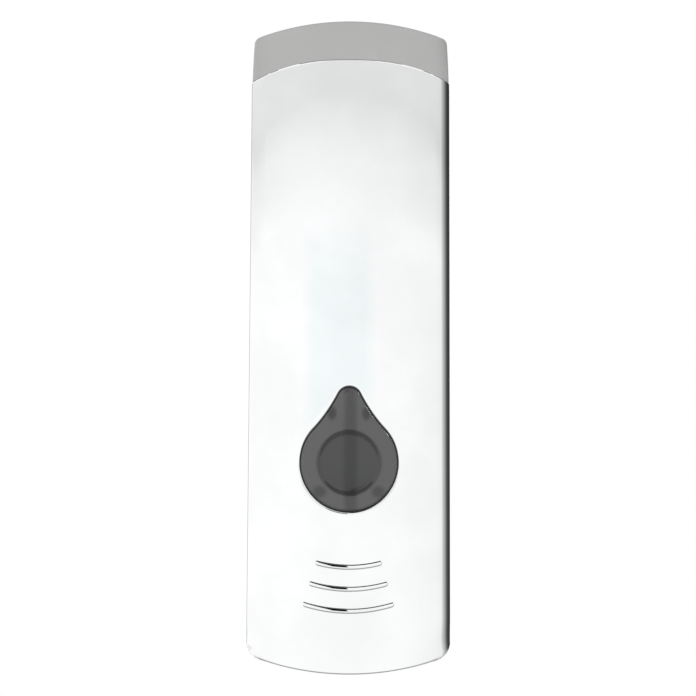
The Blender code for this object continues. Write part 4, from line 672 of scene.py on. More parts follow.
def build_lid(sizes):
    """The cap: bowed front, arched top, side skirts rounded to clear the wall and a notched back."""
    mesh = bmesh.new()
    side_steps = STEPS_LID_SIDE
    rows, rings = shell_skin(mesh, True, LID_STEP_IN, side_steps, LID_REAR_Y)
    for ring in rings[: STEPS_DEPTH + 1]:
        for end, way in ((0, 1), (len(ring) - 1, -1)):
            back = ring[end].co.y - LID_PIVOT_Y
            if back <= 0:
                continue
            swing = math.sqrt(max(LID_SKIRT_SWING_RADIUS**2 - back**2, 0))
            low, top, open_z = LID_PIVOT_Z - swing, ring[end + way * side_steps].co.z, ring[end].co.z
            for k in range(side_steps):
                vertex = ring[end + way * k]
                vertex.co.z = low + (vertex.co.z - open_z) * (top - low) / (top - open_z)
    down = (len(rings[0]) - len(rows[-1])) // 2
    left, end, right = split_edge(rings[0], down, len(rows[-1]) - 1)
    low_row = open_row(mesh, left, right, end, lambda x: (x, LID_REAR_Y, left[0].co.z))
    back_rows = patch(mesh, left, right, low_row, end, lambda x: LID_REAR_Y)
    inner, outer = ear_x() - LOOSE_GAP, ear_x() + HINGE_EAR_THICKNESS + FIT_GAP
    notch_top = LID_PIVOT_Z + HINGE_EAR_RADIUS + LOOSE_GAP
    cells = set()
    for side in (-1, 1):
        columns = [vertex.co.x for vertex in back_rows[0]]
        start, stop = sorted(nearest(columns, side * reach) for reach in (inner, outer))
        top = max(nearest([row[start].co.z for row in back_rows], notch_top), 1)
        for row in back_rows[: top + 1]:
            row[start].co.x, row[stop].co.x = sorted((side * inner, side * outer))
            for k in range(start + 1, stop):
                width = row[stop].co.x - row[start].co.x
                row[k].co.x = row[start].co.x + width * (k - start) / (stop - start)
        for vertex in back_rows[top][start : stop + 1]:
            vertex.co.z = notch_top
        block = {vertex for row in back_rows[: top + 1] for vertex in row[start : stop + 1]}
        cells |= {face for vertex in block for face in vertex.link_faces if set(face.verts) <= block}
    bmesh.ops.delete(mesh, geom=list(cells), context="FACES")
    lid = piece("lid_cap", mesh, "lid", "satin_grey_abs")
    thicken(lid, LID_WALL)
    round_edges(lid, sizes.edge_radius)
    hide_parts("lid")


def ear_x():
    return half_width(LID_PIVOT_Z) - HINGE_EAR_INSET - HINGE_EAR_THICKNESS


def build_bosses(sizes):
    """The lid's two hinge bosses, each a ring round the pin's hole reaching out to the cap's side skirt."""
    outer = ear_x() + HINGE_EAR_THICKNESS + FIT_GAP
    skirt = half_width(LID_PIVOT_Z) - LID_STEP_IN - LID_WALL / 2
    for name, side in (("lid_boss_left", -1), ("lid_boss_right", 1)):
        mesh = bmesh.new()
        edge = sizes.edge_radius
        profile = [
            (PIN_HOLE_RADIUS, outer + LID_WALL),
            (PIN_HOLE_RADIUS, outer + edge),
            (PIN_HOLE_RADIUS + edge, outer),
            (LID_BOSS_RADIUS - edge, outer),
            (LID_BOSS_RADIUS, outer + edge),
            (LID_BOSS_RADIUS + edge, skirt),
        ]
        rings = []
        for radius, x in profile:
            ring = arc_points(LID_PIVOT_Y, LID_PIVOT_Z, radius, 0, math.tau, STEPS_ROUND // 3)[:-1]
            rings.append([mesh.verts.new((side * x, y, z)) for y, z in ring])
        bridge(mesh, rings)
        piece(name, mesh, "lid", "satin_grey_abs")


def build_button(sizes):
    """The smoke teardrop cap: crowned face, dish with a sloped wall, thin skirt, flange and hollow."""
    mesh = bmesh.new()
    count = 2 * STEPS_ROUND
    edge = sizes.button_edge_radius
    back = FRONT_Y + BUTTON_SKIRT_DEPTH
    flange_y = back - BUTTON_FLANGE_THICKNESS
    inner_inset = BUTTON_FACE_THICKNESS + sizes.dish_depth

    def face_y(x):
        return front_y(x) - BUTTON_CROWN

    climb = (sizes.dish_depth - DISH_EDGE_RISE + BUTTON_CROWN) / DISH_WALL_WIDTH

    def dish_y(radius):
        if radius <= DISH_REACH:
            return FRONT_Y + sizes.dish_depth - DISH_EDGE_RISE * (radius / DISH_REACH) ** 2
        return FRONT_Y + sizes.dish_depth - DISH_EDGE_RISE - (radius - DISH_REACH) * climb

    def dish_section(turn):
        """Radius and depth from the brim, down the sloped wall, to the dish's floor."""
        brim = FINGER_DISH_RADIUS
        for _ in range(SOLVE_ROUNDS):
            brim = DISH_REACH + (dish_y(DISH_REACH) - face_y(brim * math.cos(turn))) / climb
        run = []
        for middle, out_y in ((brim, face_y((brim + DISH_LIP) * math.cos(turn))), (DISH_REACH, None)):
            start = Vector((middle + DISH_LIP, dish_y(middle + DISH_LIP) if out_y is None else out_y))
            knee = Vector((middle, dish_y(middle)))
            end = Vector((middle - DISH_LIP, dish_y(middle - DISH_LIP)))
            for k in range(LIP_STEPS + 1):
                t = k / LIP_STEPS
                run.append(start * (1 - t) ** 2 + knee * (2 * t * (1 - t)) + end * t**2)
        return run

    def ring_of(points, y_at):
        return [mesh.verts.new((x, y_at(x), z)) for x, z in points]

    def circle(radius):
        return [(radius * math.cos(t), BUTTON_Z + radius * math.sin(t)) for t in turns]

    def close(ring, point):
        for i in range(count):
            mesh.faces.new((ring[i], ring[(i + 1) % count], point))

    turns = [math.tau * i / count - math.pi / 2 for i in range(count)]
    inner = resample(teardrop(-BUTTON_WALL), count)
    rings = [ring_of(inner, lambda x: back)]
    rings.append(ring_of(resample(teardrop(BUTTON_FLANGE_WIDTH), count), lambda x: back))
    rings.append(ring_of(resample(teardrop(BUTTON_FLANGE_WIDTH), count), lambda x: flange_y))
    outline = resample(teardrop(), count)
    rings.append(ring_of(outline, lambda x: flange_y))
    for k in range(EDGE_STEPS + 1):
        turn = math.pi / 2 * k / EDGE_STEPS
        points = resample(teardrop(-edge * (1 - math.cos(turn))), count)
        rings.append(ring_of(points, lambda x: face_y(x) + edge * (1 - math.sin(turn))))
    sections = [dish_section(turn) for turn in turns]
    rim = points
    brims = [(run[0].x * math.cos(t), BUTTON_Z + run[0].x * math.sin(t)) for run, t in zip(sections, turns)]
    for k in range(1, FACE_RINGS):
        share = k / FACE_RINGS
        points = [tuple(Vector(a).lerp(Vector(b), share)) for a, b in zip(rim, brims)]
        rings.append(ring_of(points, face_y))
    for k in range(len(sections[0])):
        ring = []
        for run, turn in zip(sections, turns):
            place = (run[k].x * math.cos(turn), run[k].y, BUTTON_Z + run[k].x * math.sin(turn))
            ring.append(mesh.verts.new(place))
        rings.append(ring)
    for k in range(1, DISH_RINGS):
        radius = (DISH_REACH - DISH_LIP) * (1 - k / DISH_RINGS)
        rings.append(ring_of(circle(radius), lambda x: dish_y(radius)))
    bridge(mesh, rings)
    close(rings[-1], mesh.verts.new((0, dish_y(0), BUTTON_Z)))
    hollow = [rings[0]]
    for k in range(HOLLOW_RINGS):
        share = k / HOLLOW_RINGS
        points = [(x * (1 - share), z + (BUTTON_Z - z) * share) for x, z in inner]
        hollow.append(ring_of(points, lambda x: front_y(x, inner_inset)))
    bridge(mesh, hollow)
    close(hollow[-1], mesh.verts.new((0, front_y(0, inner_inset), BUTTON_Z)))
    button = piece("teardrop_button", mesh, "button", "smoke_acrylic")
    button.data.set_sharp_from_angle(angle=math.radians(BUTTON_SHARP_ANGLE))
    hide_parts("push_button")


def coil(name, body, low, high, along, coil_radius, wire_radius, turns):
    """A drawn wire spring whose two end turns lie flat on their seats."""
    mesh = bmesh.new()
    low, high, along = Vector(low), Vector(high), Vector(along)
    across = along.orthogonal().normalized()
    other = along.cross(across)
    free = (high - low).length - 2 * wire_radius
    count = int(turns * WIRE_POINTS)
    closed = 2 * wire_radius * WIRE_CLOSED_PITCH

    def height(share):
        turn = share * turns
        if turn < 1:
            return closed * turn
        if turn > turns - 1:
            return free - closed * (turns - turn)
        return closed + (free - 2 * closed) * (turn - 1) / (turns - 2)

    def centre(share):
        way = math.tau * turns * share
        ring = across * math.cos(way) + other * math.sin(way)
        return low + along * (wire_radius + height(share)) + ring * coil_radius

    rings = []
    for i in range(count + 1):
        share = i / count
        place = centre(share)
        step = WIRE_LOOK_STEP / count
        run = (centre(min(share + step, 1)) - centre(max(share - step, 0))).normalized()
        side = run.cross(along).normalized()
        up = side.cross(run)
        ring = []
        for a, b in arc_points(0, 0, wire_radius, 0, math.tau, WIRE_SIDES)[:-1]:
            ring.append(mesh.verts.new(place + side * a + up * b))
        rings.append(ring)
    bridge(mesh, rings)
    mesh.faces.new(rings[0])
    mesh.faces.new(list(reversed(rings[-1])))
    return piece(name, mesh, body, "stainless_steel")


# Shading


class Net:
    """Adds nodes to a tree and joins them."""

    def __init__(self, tree):
        self.tree = tree

    def add(self, kind, settings=None, **inputs):
        node = self.tree.nodes.new(kind)
        for name, value in (settings or {}).items():
            setattr(node, name, value)
        for name, value in inputs.items():
            self.put(node.inputs[name.replace("_", " ")], value)
        return node

    def put(self, socket, value):
        if isinstance(value, bpy.types.NodeSocket):
            self.tree.links.new(value, socket)
        else:
            socket.default_value = value

    def math(self, operation, first, second=None, clamp=False):
        node = self.tree.nodes.new("ShaderNodeMath")
        node.operation = operation
        node.use_clamp = clamp
        self.put(node.inputs[0], first)
        if second is not None:
            self.put(node.inputs[1], second)
        return node.outputs[0]

    def times(self, first, second, clamp=False):
        return self.math("MULTIPLY", first, second, clamp)

    def plus(self, first, second):
        return self.math("ADD", first, second)

    def vector(self, operation, first, second=None):
        node = self.tree.nodes.new("ShaderNodeVectorMath")
        node.operation = operation
        self.put(node.inputs[0], first)
        if second is not None:
            self.put(node.inputs[1], second)
        return node.outputs

    def noise(self, size, detail, roughness=0.5, finer=1.0):
        """Noise in the piece's own space, with features of a size given as a socket."""
        place = self.add("ShaderNodeTexCoord").outputs["Object"]
        scale = self.math("DIVIDE", finer, size)
        inputs = {"Vector": place, "Scale": scale, "Detail": detail, "Roughness": roughness}
        return self.add("ShaderNodeTexNoise", **inputs).outputs[0]

    def ramp(self, factor, low, high, start=0.0, end=1.0):
        node = self.tree.nodes.new("ShaderNodeMapRange")
        node.interpolation_type = "SMOOTHSTEP"
        for socket, value in zip(node.inputs, (factor, low, high, start, end)):
            self.put(socket, value)
        return node.outputs[0]

    def mix(self, share, first, second, blend="MIX"):
        node = self.tree.nodes.new("ShaderNodeMix")
        node.data_type = "RGBA"
        node.blend_type = blend
        self.put(node.inputs[0], share)
        self.put(node.inputs[6], first)
        self.put(node.inputs[7], second)
        return node.outputs[2]


def node_group(name, inputs, outputs, fill):
    """Make a node group with named sockets. fill gets its net and its inputs and returns its outputs."""
    made = bpy.data.node_groups.get(name)
    if made:
        return made
    made = bpy.data.node_groups.new(name, "ShaderNodeTree")
    for label, kind, value in inputs:
        socket = made.interface.new_socket(label, in_out="INPUT", socket_type=kind)
        socket.default_value = value
    for label, kind in outputs:
        made.interface.new_socket(label, in_out="OUTPUT", socket_type=kind)
    entry = made.nodes.new("NodeGroupInput")
    leave = made.nodes.new("NodeGroupOutput")
    results = fill(Net(made), {socket.name: socket for socket in entry.outputs})
    for (label, _), result in zip(outputs, results):
        made.links.new(result, leave.inputs[label])
    return made


VALUE, COLOUR, VECTOR = "NodeSocketFloat", "NodeSocketColor", "NodeSocketVector"
MASK = [("Mask", VALUE)]


def grey(level):
    return (level, level, level, 1)


def grain_group():
    def fill(net, given):
        fine = net.noise(given["Size"], 3.0, 0.6)
        coarse = net.noise(given["Size"], 2.0, finer=COARSE_GRAIN)
        return net.plus(fine, net.times(coarse, 0.5)), net.ramp(fine, 0.35, 0.65)

    outputs = [("Height", VALUE), ("Speckle", VALUE)]
    return node_group("moulded grain", [("Size", VALUE, 0.0003)], outputs, fill)


def drift_group():
    def fill(net, given):
        share = net.ramp(net.noise(given["Size"], 4.0, 0.55), 0.3, 0.7)
        return net.mix(share, given["First"], given["Second"]), share

    inputs = [("First", COLOUR, grey(0.5)), ("Second", COLOUR, grey(0.4)), ("Size", VALUE, 0.02)]
    return node_group("colour drift", inputs, [("Colour", COLOUR), ("Share", VALUE)], fill)


# Edge mask: wear on most finishes; with the satin lid's darker edge colour it paints shade along the lid's
# edges
def edge_group():
    def fill(net, given):
        round_normal = net.add("ShaderNodeBevel", {"samples": 4}, Radius=given["Width"]).outputs[0]
        flat = net.add("ShaderNodeNewGeometry").outputs["Normal"]
        bend = net.ramp(net.vector("DOT_PRODUCT", round_normal, flat)["Value"], 0.995, 0.9)
        broken = net.ramp(net.noise(given["Size"], 5.0, 0.7), 0.4, 0.62)
        return (net.times(net.times(bend, broken), given["Amount"], clamp=True),)

    inputs = [("Width", VALUE, 0.0003), ("Size", VALUE, 0.002), ("Amount", VALUE, 0.5)]
    return node_group("edge wear", inputs, MASK, fill)


def dust_group():
    def fill(net, given):
        up = net.add("ShaderNodeSeparateXYZ", Vector=net.add("ShaderNodeNewGeometry").outputs["Normal"])
        lying = net.ramp(up.outputs["Z"], 0.3, 0.95)
        share = net.times(lying, net.ramp(net.noise(given["Size"], 6.0, 0.65), 0.3, 0.7))
        return (net.times(share, given["Amount"], clamp=True),)

    return node_group("settled dust", [("Size", VALUE, 0.004), ("Amount", VALUE, 0.2)], MASK, fill)


def hairline_group():
    def fill(net, given):
        place = net.add("ShaderNodeTexCoord").outputs["Object"]
        marks = []
        for turn in ((0.3, 0.2, 0.5), (1.1, 0.7, -0.9)):
            turned = net.add("ShaderNodeMapping", Vector=place, Rotation=turn, Scale=given["Stretch"])
            line = net.add("ShaderNodeTexNoise", Vector=turned.outputs[0], Scale=1.0, Detail=2.0)
            away = net.math("ABSOLUTE", net.math("SUBTRACT", line.outputs[0], 0.5))
            marks.append(net.ramp(away, 0.012, 0.0))
        return (net.times(net.math("MAXIMUM", *marks), given["Amount"], clamp=True),)

    inputs = [("Stretch", VECTOR, (900.0, 40.0, 40.0)), ("Amount", VALUE, 0.3)]
    return node_group("hairlines", inputs, MASK, fill)


def spot_group():
    def fill(net, given):
        place = net.add("ShaderNodeTexCoord").outputs["Object"]
        away = net.vector("SUBTRACT", place, given["Centre"])[0]
        far = net.vector("LENGTH", net.vector("MULTIPLY", away, given["Squeeze"])[0])["Value"]
        half = net.times(given["Softness"], 0.5)
        outer, inner = net.plus(given["Radius"], half), net.math("SUBTRACT", given["Radius"], half)
        return (net.times(net.ramp(far, outer, inner), given["Amount"]),)

    inputs = [
        ("Centre", VECTOR, (0.0, 0.0, 0.0)),
        ("Squeeze", VECTOR, (1.0, 0.0, 1.0)),
        ("Radius", VALUE, 0.01),
        ("Softness", VALUE, 0.001),
        ("Amount", VALUE, 0.5),
    ]
    return node_group("soft spot", inputs, MASK, fill)


# Painted shade and reflection on the smoke cap: dish wall and dish floor painted darker, a darker middle
# band of painted reflection, and four spots of painted shade where the carrier's real pegs stand behind the
# cap, each with its place across and above the button's middle, squeeze across and up, radius, softness,
# amount and level
SMOKE_PAINTED_SHADE = (
    (0.0, 0.0, 1.0, 1.0, 0.0130, 0.0010, 0.6, 0.03),
    (0.0, 0.0, 1.0, 1.0, 0.0113, 0.0010, 1.0, 0.06),
    (0.0006, 0.0, 1.0, 0.05, 0.0026, 0.0030, 0.45, 0.012),
    *((side * 0.0068, 0.0196, 1.2, 0.8, 0.0020, 0.0022, 0.75, 0.022) for side in (-1, 1)),
    *((side * 0.0116, -0.0115, 0.9, 1.0, 0.0023, 0.0026, 0.65, 0.03) for side in (-1, 1)),
)


def paint_smoke_shade(net, colour):
    """Paint shade and reflection into the smoke cap's colour: darker over its dish, a darker middle band,
    and painted shade where the carrier's parts stand close behind it.
    """
    for x, rise, squeeze_x, squeeze_z, radius, softness, amount, shade in SMOKE_PAINTED_SHADE:
        spot = net.add(
            "ShaderNodeGroup",
            {"node_tree": spot_group()},
            Centre=(x, 0.0, BUTTON_Z + rise),
            Squeeze=(squeeze_x, 0.0, squeeze_z),
            Radius=radius,
            Softness=softness,
            Amount=amount,
        )
        colour = net.mix(spot.outputs[0], colour, grey(shade))
    return colour


def make_look(name, colour, drift, finish):
    """A Principled material with moulded grain, colour drift, an edge colour that is wear on most finishes
    and painted shade on the satin lid, dust, hairlines and, where the finish has it, painted shade and
    reflection.
    """
    made = bpy.data.materials.new(name)
    made.use_nodes = True
    net = Net(made.node_tree)
    shader = made.node_tree.nodes["Principled BSDF"]

    def grouped(make, **inputs):
        return net.add("ShaderNodeGroup", {"node_tree": make()}, **inputs).outputs

    grain = grouped(grain_group, Size=finish["grain"])
    tone = grouped(drift_group, First=(*colour, 1), Second=(*drift, 1), Size=finish["drift"])
    edge = grouped(edge_group, Width=finish["edge"], Size=finish["edge"] * WEAR_AND_SHADE_SIZE, Amount=finish["wear"])
    dust = grouped(dust_group, Size=finish["drift"] / DUST_SHARE, Amount=finish["dust"])
    lines = grouped(hairline_group, Stretch=finish["stretch"], Amount=finish["lines"])
    speckle = net.times(grain["Speckle"], finish["speckle"])
    speckled = net.mix(speckle, tone["Colour"], (*drift, 1))
    # Painted shade and reflection where the finish has it: on the smoke cap, its dish, middle band and the
    # carrier's pegs
    if finish["shade"]:
        speckled = finish["shade"](net, speckled)
    # Edge colour: wear, and on the satin lid painted shade darkening its top edge and corners
    worn_and_shaded = net.mix(edge["Mask"], speckled, (*finish["worn_and_shaded"], 1))
    net.put(shader.inputs["Base Color"], net.mix(dust["Mask"], worn_and_shaded, (*finish["film"], 1)))
    rough = net.plus(finish["rough"], net.times(tone["Share"], finish["rough_drift"]))
    rough = net.plus(rough, net.times(edge["Mask"], finish["rough_edge"]))
    rough = net.plus(rough, net.times(dust["Mask"], DUST_ROUGHNESS))
    net.put(shader.inputs["Roughness"], net.plus(rough, net.times(lines["Mask"], LINE_ROUGHNESS)))
    height = net.math("SUBTRACT", grain["Height"], lines["Mask"])
    reach = finish["grain"] * BUMP_REACH
    bump = net.add("ShaderNodeBump", Strength=finish["bump"], Distance=reach, Height=height)
    net.put(shader.inputs["Normal"], bump.outputs[0])
    for label, value in finish["shader"].items():
        shader.inputs[label].default_value = value
    return made


PLAIN = {
    "grain": 0.00035, "drift": 0.03, "edge": 0.00035, "wear": 0.35, "dust": 0.05,
    "stretch": (900.0, 60.0, 60.0), "lines": 0.1, "speckle": 0.3, "worn_and_shaded": (0.6, 0.6, 0.6),
    "film": (0.6, 0.59, 0.56), "rough": 0.4, "rough_drift": 0.06, "rough_edge": -0.08, "bump": 0.12,
    "shade": None, "shader": {},
}
FINISHES = {
    # The satin lid's darker edge colour is painted shade on its top edge and corners, not wear
    "satin_grey_abs": {"worn_and_shaded": (0.28, 0.28, 0.28), "wear": 0.5, "bump": 0.15, "rough": 0.42},
    "chrome_plate": {
        "grain": 0.0006, "wear": 0.15, "dust": 0.01, "lines": 0.03, "speckle": 0.1,
        "worn_and_shaded": (0.8, 0.81, 0.82), "film": (0.85, 0.85, 0.84), "rough": 0.012, "rough_drift": 0.008,
        "rough_edge": 0.05, "bump": 0.001, "shader": {"Metallic": 1.0},
    },
    "foam_tape": {
        "grain": 0.0009, "wear": 0.0, "speckle": 0.6, "rough": 0.9, "rough_edge": 0.0, "bump": 0.7,
    },
    "smoke_acrylic": {
        "grain": 0.0008, "wear": 0.2, "dust": 0.03, "lines": 0.1, "speckle": 0.05,
        "worn_and_shaded": (0.14, 0.14, 0.14), "film": (0.25, 0.25, 0.24), "rough": 0.1, "rough_drift": 0.03,
        "rough_edge": 0.1, "bump": 0.01, "shade": paint_smoke_shade,
        "shader": {"IOR": 1.49, "Transmission Weight": 0.15},
    },
    "black_nylon": {"worn_and_shaded": (0.09, 0.09, 0.09), "film": (0.12, 0.12, 0.11), "rough": 0.5, "bump": 0.2},
    "natural_polypropylene": {
        "worn_and_shaded": (0.9, 0.91, 0.92), "rough": 0.3,
        "shader": {"Subsurface Weight": 0.3, "Subsurface Scale": 0.002, "Transmission Weight": 0.35},
    },
    "white_acetal": {"worn_and_shaded": (0.86, 0.86, 0.84), "film": (0.8, 0.79, 0.76), "rough": 0.32},
    "black_nitrile": {"worn_and_shaded": (0.05, 0.05, 0.05), "film": (0.1, 0.1, 0.1), "rough": 0.62, "bump": 0.3},
    "clear_silicone": {"wear": 0.0, "rough": 0.28, "shader": {"Transmission Weight": 0.7, "IOR": 1.41}},
    "stainless_steel": {
        "grain": 0.00015, "lines": 0.5, "stretch": (2500.0, 60.0, 60.0), "worn_and_shaded": (0.75, 0.75, 0.74),
        "rough": 0.24, "rough_edge": -0.1, "shader": {"Metallic": 1.0},
    },
}


def look_of(slot):
    """The slot's material, made once from its colour setting and its finish."""
    name = "finish " + slot
    made = bpy.data.materials.get(name)
    if made:
        return made
    colour = tuple(getattr(bpy.context.scene.dispenser_colours, slot))
    drift = tuple(c * DRIFT_SHADE for c in colour)
    return make_look(name, colour, drift, PLAIN | FINISHES[slot])


# Settings


def length(label, value, description):
    return FloatProperty(
        name=label, description=description, default=value, min=0.0, unit="LENGTH", subtype="DISTANCE"
    )


def colour(label, value, description):
    return FloatVectorProperty(
        name=label, description=description, default=value, size=3, min=0.0, max=1.0, subtype="COLOR"
    )


class DispenserSizes(bpy.types.PropertyGroup):
    edge_radius: length("Edge radius", 0.0003, "Rounding of the moulded pieces' outer edges")
    lip_radius: length("Opening lip radius", 0.0006, "Rolled lip of the cover's teardrop opening")
    rib_height: length("Rib height", 0.00088, "How far the raised ribs stand off the cover")
    rib_thickness: length("Rib thickness", 0.0021, "Height of one raised rib, seen from the front")
    button_edge_radius: length("Button edge radius", 0.0008, "Rounding of the button's rim")
    dish_depth: length("Dish depth", 0.0015, "Depth of the finger dish at its middle")


class DispenserColours(bpy.types.PropertyGroup):
    satin_grey_abs: colour("Lid and housing", (0.415, 0.415, 0.412), "Satin grey moulding")
    chrome_plate: colour("Plating", (0.95, 0.955, 0.96), "Bright plating of the cover and ribs")
    smoke_acrylic: colour("Button", (0.108, 0.108, 0.108), "Smoke grey cap")
    foam_tape: colour("Tape", (0.8, 0.8, 0.77), "Foam tape on the back")
    black_nylon: colour("Carrier and bracket", (0.03, 0.03, 0.03), "Dull black moulding")
    natural_polypropylene: colour("Chamber", (0.84, 0.87, 0.88), "Milky soap chamber")
    white_acetal: colour("Pump", (0.82, 0.82, 0.8), "Smooth white moulding")
    black_nitrile: colour("Seals", (0.02, 0.02, 0.02), "Dull black rubber")
    clear_silicone: colour("Hose", (0.82, 0.85, 0.87), "Hazy soft tube")
    stainless_steel: colour("Steel", (0.62, 0.62, 0.61), "Screws, pins, balls and springs")


# Operators


class Build(bpy.types.Operator):
    """Shared base of the piece operators."""

    bl_options = {"REGISTER", "UNDO"}

    @property
    def sizes(self):
        return bpy.context.scene.dispenser_sizes

    def execute(self, context):
        self.build()
        return {"FINISHED"}


class DISPENSER_OT_cover(Build):
    """Build the bright cover and its raised ribs"""

    bl_idname = "dispenser.cover"
    bl_label = "Cover and ribs"

    def build(self):
        build_cover(self.sizes)
        build_ribs(self.sizes)


class DISPENSER_OT_lid(Build):
    """Build the satin lid and its hinge bosses"""

    bl_idname = "dispenser.lid"
    bl_label = "Lid"

    def build(self):
        build_lid(self.sizes)
        build_bosses(self.sizes)


class DISPENSER_OT_button(Build):
    """Build the smoke teardrop cap"""

    bl_idname = "dispenser.button"
    bl_label = "Button"

    def build(self):
        build_button(self.sizes)


class DISPENSER_OT_springs(Build):
    """Wind the return spring and the outlet valve's spring"""

    bl_idname = "dispenser.springs"
    bl_label = "Springs"

    def build(self):
        for name, spring in SPRINGS.items():
            low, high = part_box(name)
            axis = spring["axis"]
            k = [abs(a) for a in axis].index(1)
            middle = [(a + b) / 2 for a, b in zip(low, high)]
            ends = [list(middle), list(middle)]
            ends[0][k], ends[1][k] = (low[k], high[k]) if axis[k] > 0 else (high[k], low[k])
            made = coil(name + "_wire", "housing", ends[0], ends[1], axis, *spring["wire"])
            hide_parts(name)
            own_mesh(made)


class DISPENSER_OT_inner(Build):
    """Dress the housing, the chamber, the pump and the other pieces that keep their forms"""

    bl_idname = "dispenser.inner"
    bl_label = "Housing, chamber and pump"

    def build(self):
        slots = {entry["node"]: entry["material_slot"] for entry in frame["record"]["subparts"]}
        for name, node in frame["nodes"].items():
            if name in REPLACED:
                continue
            node.data.materials.clear()
            node.data.materials.append(look_of(slots[name]))
            round_edges(node, self.sizes.edge_radius, 30.0, 2)


class DISPENSER_OT_stage(Build):
    """Set the white studio, the floor, the lamps and the camera"""

    bl_idname = "dispenser.stage"
    bl_label = "Studio"

    def build(self):
        build_floor()
        build_world()
        build_lamps()
        build_camera()


REPLACED = ("front_cover", "lid", "push_button", "return_spring", "outlet_spring")
SPRINGS = {
    "return_spring": {
        "axis": (0, -1, 0),
        "joint": "button_push",
        "keep": 0.47,
        "wire": (SPRING_COIL_RADIUS, SPRING_WIRE_RADIUS, SPRING_TURNS),
    },
    "outlet_spring": {
        "axis": (0, 0, 1),
        "joint": "outlet_ball_drop",
        "keep": 0.7,
        "wire": (OUTLET_COIL_RADIUS, OUTLET_WIRE_RADIUS, OUTLET_TURNS),
    },
}


# Studio


def build_floor():
    mesh = bmesh.new()
    bmesh.ops.create_grid(mesh, x_segments=1, y_segments=1, size=FLOOR_REACH)
    data = bpy.data.meshes.new("floor")
    mesh.to_mesh(data)
    mesh.free()
    made = bpy.data.objects.new("floor", data)
    made.location = (0, 0, FLOOR_Z)
    bpy.context.scene.collection.objects.link(made)
    paint = bpy.data.materials.new("floor")
    paint.use_nodes = True
    shader = paint.node_tree.nodes["Principled BSDF"]
    shader.inputs["Base Color"].default_value = grey(FLOOR_LEVEL)
    shader.inputs["Roughness"].default_value = FLOOR_ROUGHNESS
    data.materials.append(paint)
    made.visible_glossy = False


def stops(net, factor, places):
    """A ramp node through (place, level) stops, read by factor."""
    node = net.tree.nodes.new("ShaderNodeValToRGB")
    node.color_ramp.interpolation = "EASE"
    for i, (place, level) in enumerate(places):
        if i < 2:
            stop = node.color_ramp.elements[i]
            stop.position = place
        else:
            stop = node.color_ramp.elements.new(place)
        stop.color = grey(level)
    net.put(node.inputs[0], factor)
    return node.outputs[0]


def window(net, value, reach, softness):
    """1 where the value lies within reach, softly 0 outside."""
    off = net.math("ABSOLUTE", net.math("SUBTRACT", value, sum(reach) / 2))
    half = (reach[1] - reach[0]) / 2
    return net.ramp(off, half + softness / 2, half - softness / 2)


def build_world():
    """White for the camera, a white room with a dark right side for mirrors and a plain grey for light."""
    world = bpy.data.worlds.new("studio")
    bpy.context.scene.world = world
    world.use_nodes = True
    net = Net(world.node_tree)
    world.node_tree.nodes.clear()
    way = net.add("ShaderNodeSeparateXYZ", Vector=net.add("ShaderNodeTexCoord").outputs["Generated"])
    x, y, z = way.outputs
    azimuth = net.math("DIVIDE", net.math("ARCTAN2", x, net.times(y, -1.0)), math.tau)
    level = net.math("ABSOLUTE", z)
    around = stops(net, net.plus(azimuth, 0.5), AROUND_STOPS)
    around = net.mix(net.ramp(level, *AROUND_FADE), grey(1.0), around)
    bow = net.plus(net.times(net.math("POWER", azimuth, 2.0), HEIGHT_BOW), 1.0)
    bowed = net.times(z, net.math("MINIMUM", bow, HEIGHT_BOW_LIMIT))
    height = stops(net, net.plus(net.times(bowed, 0.5), 0.5), HEIGHT_STOPS)
    room = net.mix(1.0, around, height, "MULTIPLY")
    tint = net.times(window(net, azimuth, TINT_AROUND, TINT_SOFTNESS), net.ramp(level, *TINT_HEIGHT))
    room = net.mix(tint, room, (*TINT, 1), "MULTIPLY")
    room = net.mix(1.0, room, grey(ROOM_LEVEL), "MULTIPLY")
    figure = net.times(window(net, x, FIGURE, FIGURE_SOFTNESS), net.ramp(z, *FIGURE_START))
    figure = net.times(figure, net.math("LESS_THAN", y, 0.0))
    room = net.mix(figure, room, grey(FIGURE_LEVEL))
    rise = window(net, net.math("ARCTAN2", z, x), SOFTBOX_RISE, SOFTBOX_SOFTNESS)
    softbox = net.times(rise, window(net, y, SOFTBOX_DEPTH, SOFTBOX_SOFTNESS))
    room = net.mix(softbox, room, grey(SOFTBOX_LEVEL))
    rays = net.add("ShaderNodeLightPath").outputs
    mirror = net.math("MAXIMUM", rays["Is Glossy Ray"], rays["Is Transmission Ray"])
    seen = net.mix(mirror, grey(LIGHT_LEVEL), room)
    shade = net.mix(rays["Is Camera Ray"], seen, grey(1.0))
    back = net.add("ShaderNodeBackground", Color=shade, Strength=1.0)
    out = world.node_tree.nodes.new("ShaderNodeOutputWorld")
    world.node_tree.links.new(back.outputs[0], out.inputs["Surface"])


def aim(made, target):
    made.rotation_euler = (Vector(target) - made.location).to_track_quat("-Z", "Y").to_euler()


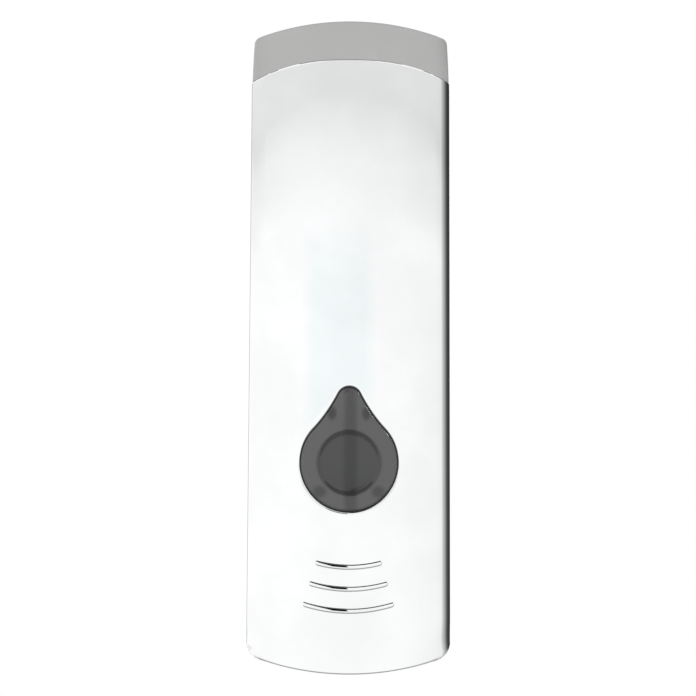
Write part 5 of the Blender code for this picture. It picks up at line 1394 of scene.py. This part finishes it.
def build_lamps():
    for name, place, size, power in LAMPS:
        lamp = bpy.data.lights.new(name, "AREA")
        lamp.shape = "RECTANGLE"
        lamp.size, lamp.size_y = size
        lamp.energy = power
        made = bpy.data.objects.new(name, lamp)
        made.location = place
        aim(made, (0, -BODY_DEPTH / 2, 0))
        made.visible_glossy = False
        bpy.context.scene.collection.objects.link(made)


def build_camera():
    camera = bpy.data.cameras.new("camera")
    camera.lens = CAMERA_LENS
    camera.sensor_width = CAMERA_SENSOR
    made = bpy.data.objects.new("camera", camera)
    roll = Matrix.Rotation(math.radians(CAMERA_ROLL), 4, "Y")
    level = Matrix.Rotation(math.pi / 2, 4, "X")
    made.matrix_world = Matrix.Translation((CAMERA_X, CAMERA_Y, CAMERA_Z)) @ roll @ level
    bpy.context.scene.collection.objects.link(made)
    bpy.context.scene.camera = made


# Add-on


class DISPENSER_PT_panel(bpy.types.Panel):
    """Lists the dispenser's operators and settings"""

    bl_idname = "DISPENSER_PT_panel"
    bl_label = "Soap dispenser"
    bl_space_type = "VIEW_3D"
    bl_region_type = "UI"
    bl_category = "Dispenser"

    def draw(self, context):
        for operator in STEPS:
            self.layout.operator(operator.bl_idname)
        for group in (context.scene.dispenser_sizes, context.scene.dispenser_colours):
            box = self.layout.box()
            for label in group.__annotations__:
                box.prop(group, label)


STEPS = (
    DISPENSER_OT_cover,
    DISPENSER_OT_lid,
    DISPENSER_OT_button,
    DISPENSER_OT_springs,
    DISPENSER_OT_inner,
    DISPENSER_OT_stage,
)
CLASSES = (DispenserSizes, DispenserColours, *STEPS, DISPENSER_PT_panel)


def register():
    for item in CLASSES:
        bpy.utils.register_class(item)
    bpy.types.Scene.dispenser_sizes = PointerProperty(type=DispenserSizes)
    bpy.types.Scene.dispenser_colours = PointerProperty(type=DispenserColours)


def unregister():
    del bpy.types.Scene.dispenser_colours
    del bpy.types.Scene.dispenser_sizes
    for item in reversed(CLASSES):
        bpy.utils.unregister_class(item)


def main():
    register()
    bpy.context.scene.view_settings.view_transform = "Standard"
    for operator in STEPS:
        group, name = operator.bl_idname.split(".")
        getattr(getattr(bpy.ops, group), name)()


if __name__ == "__main__":
    main()
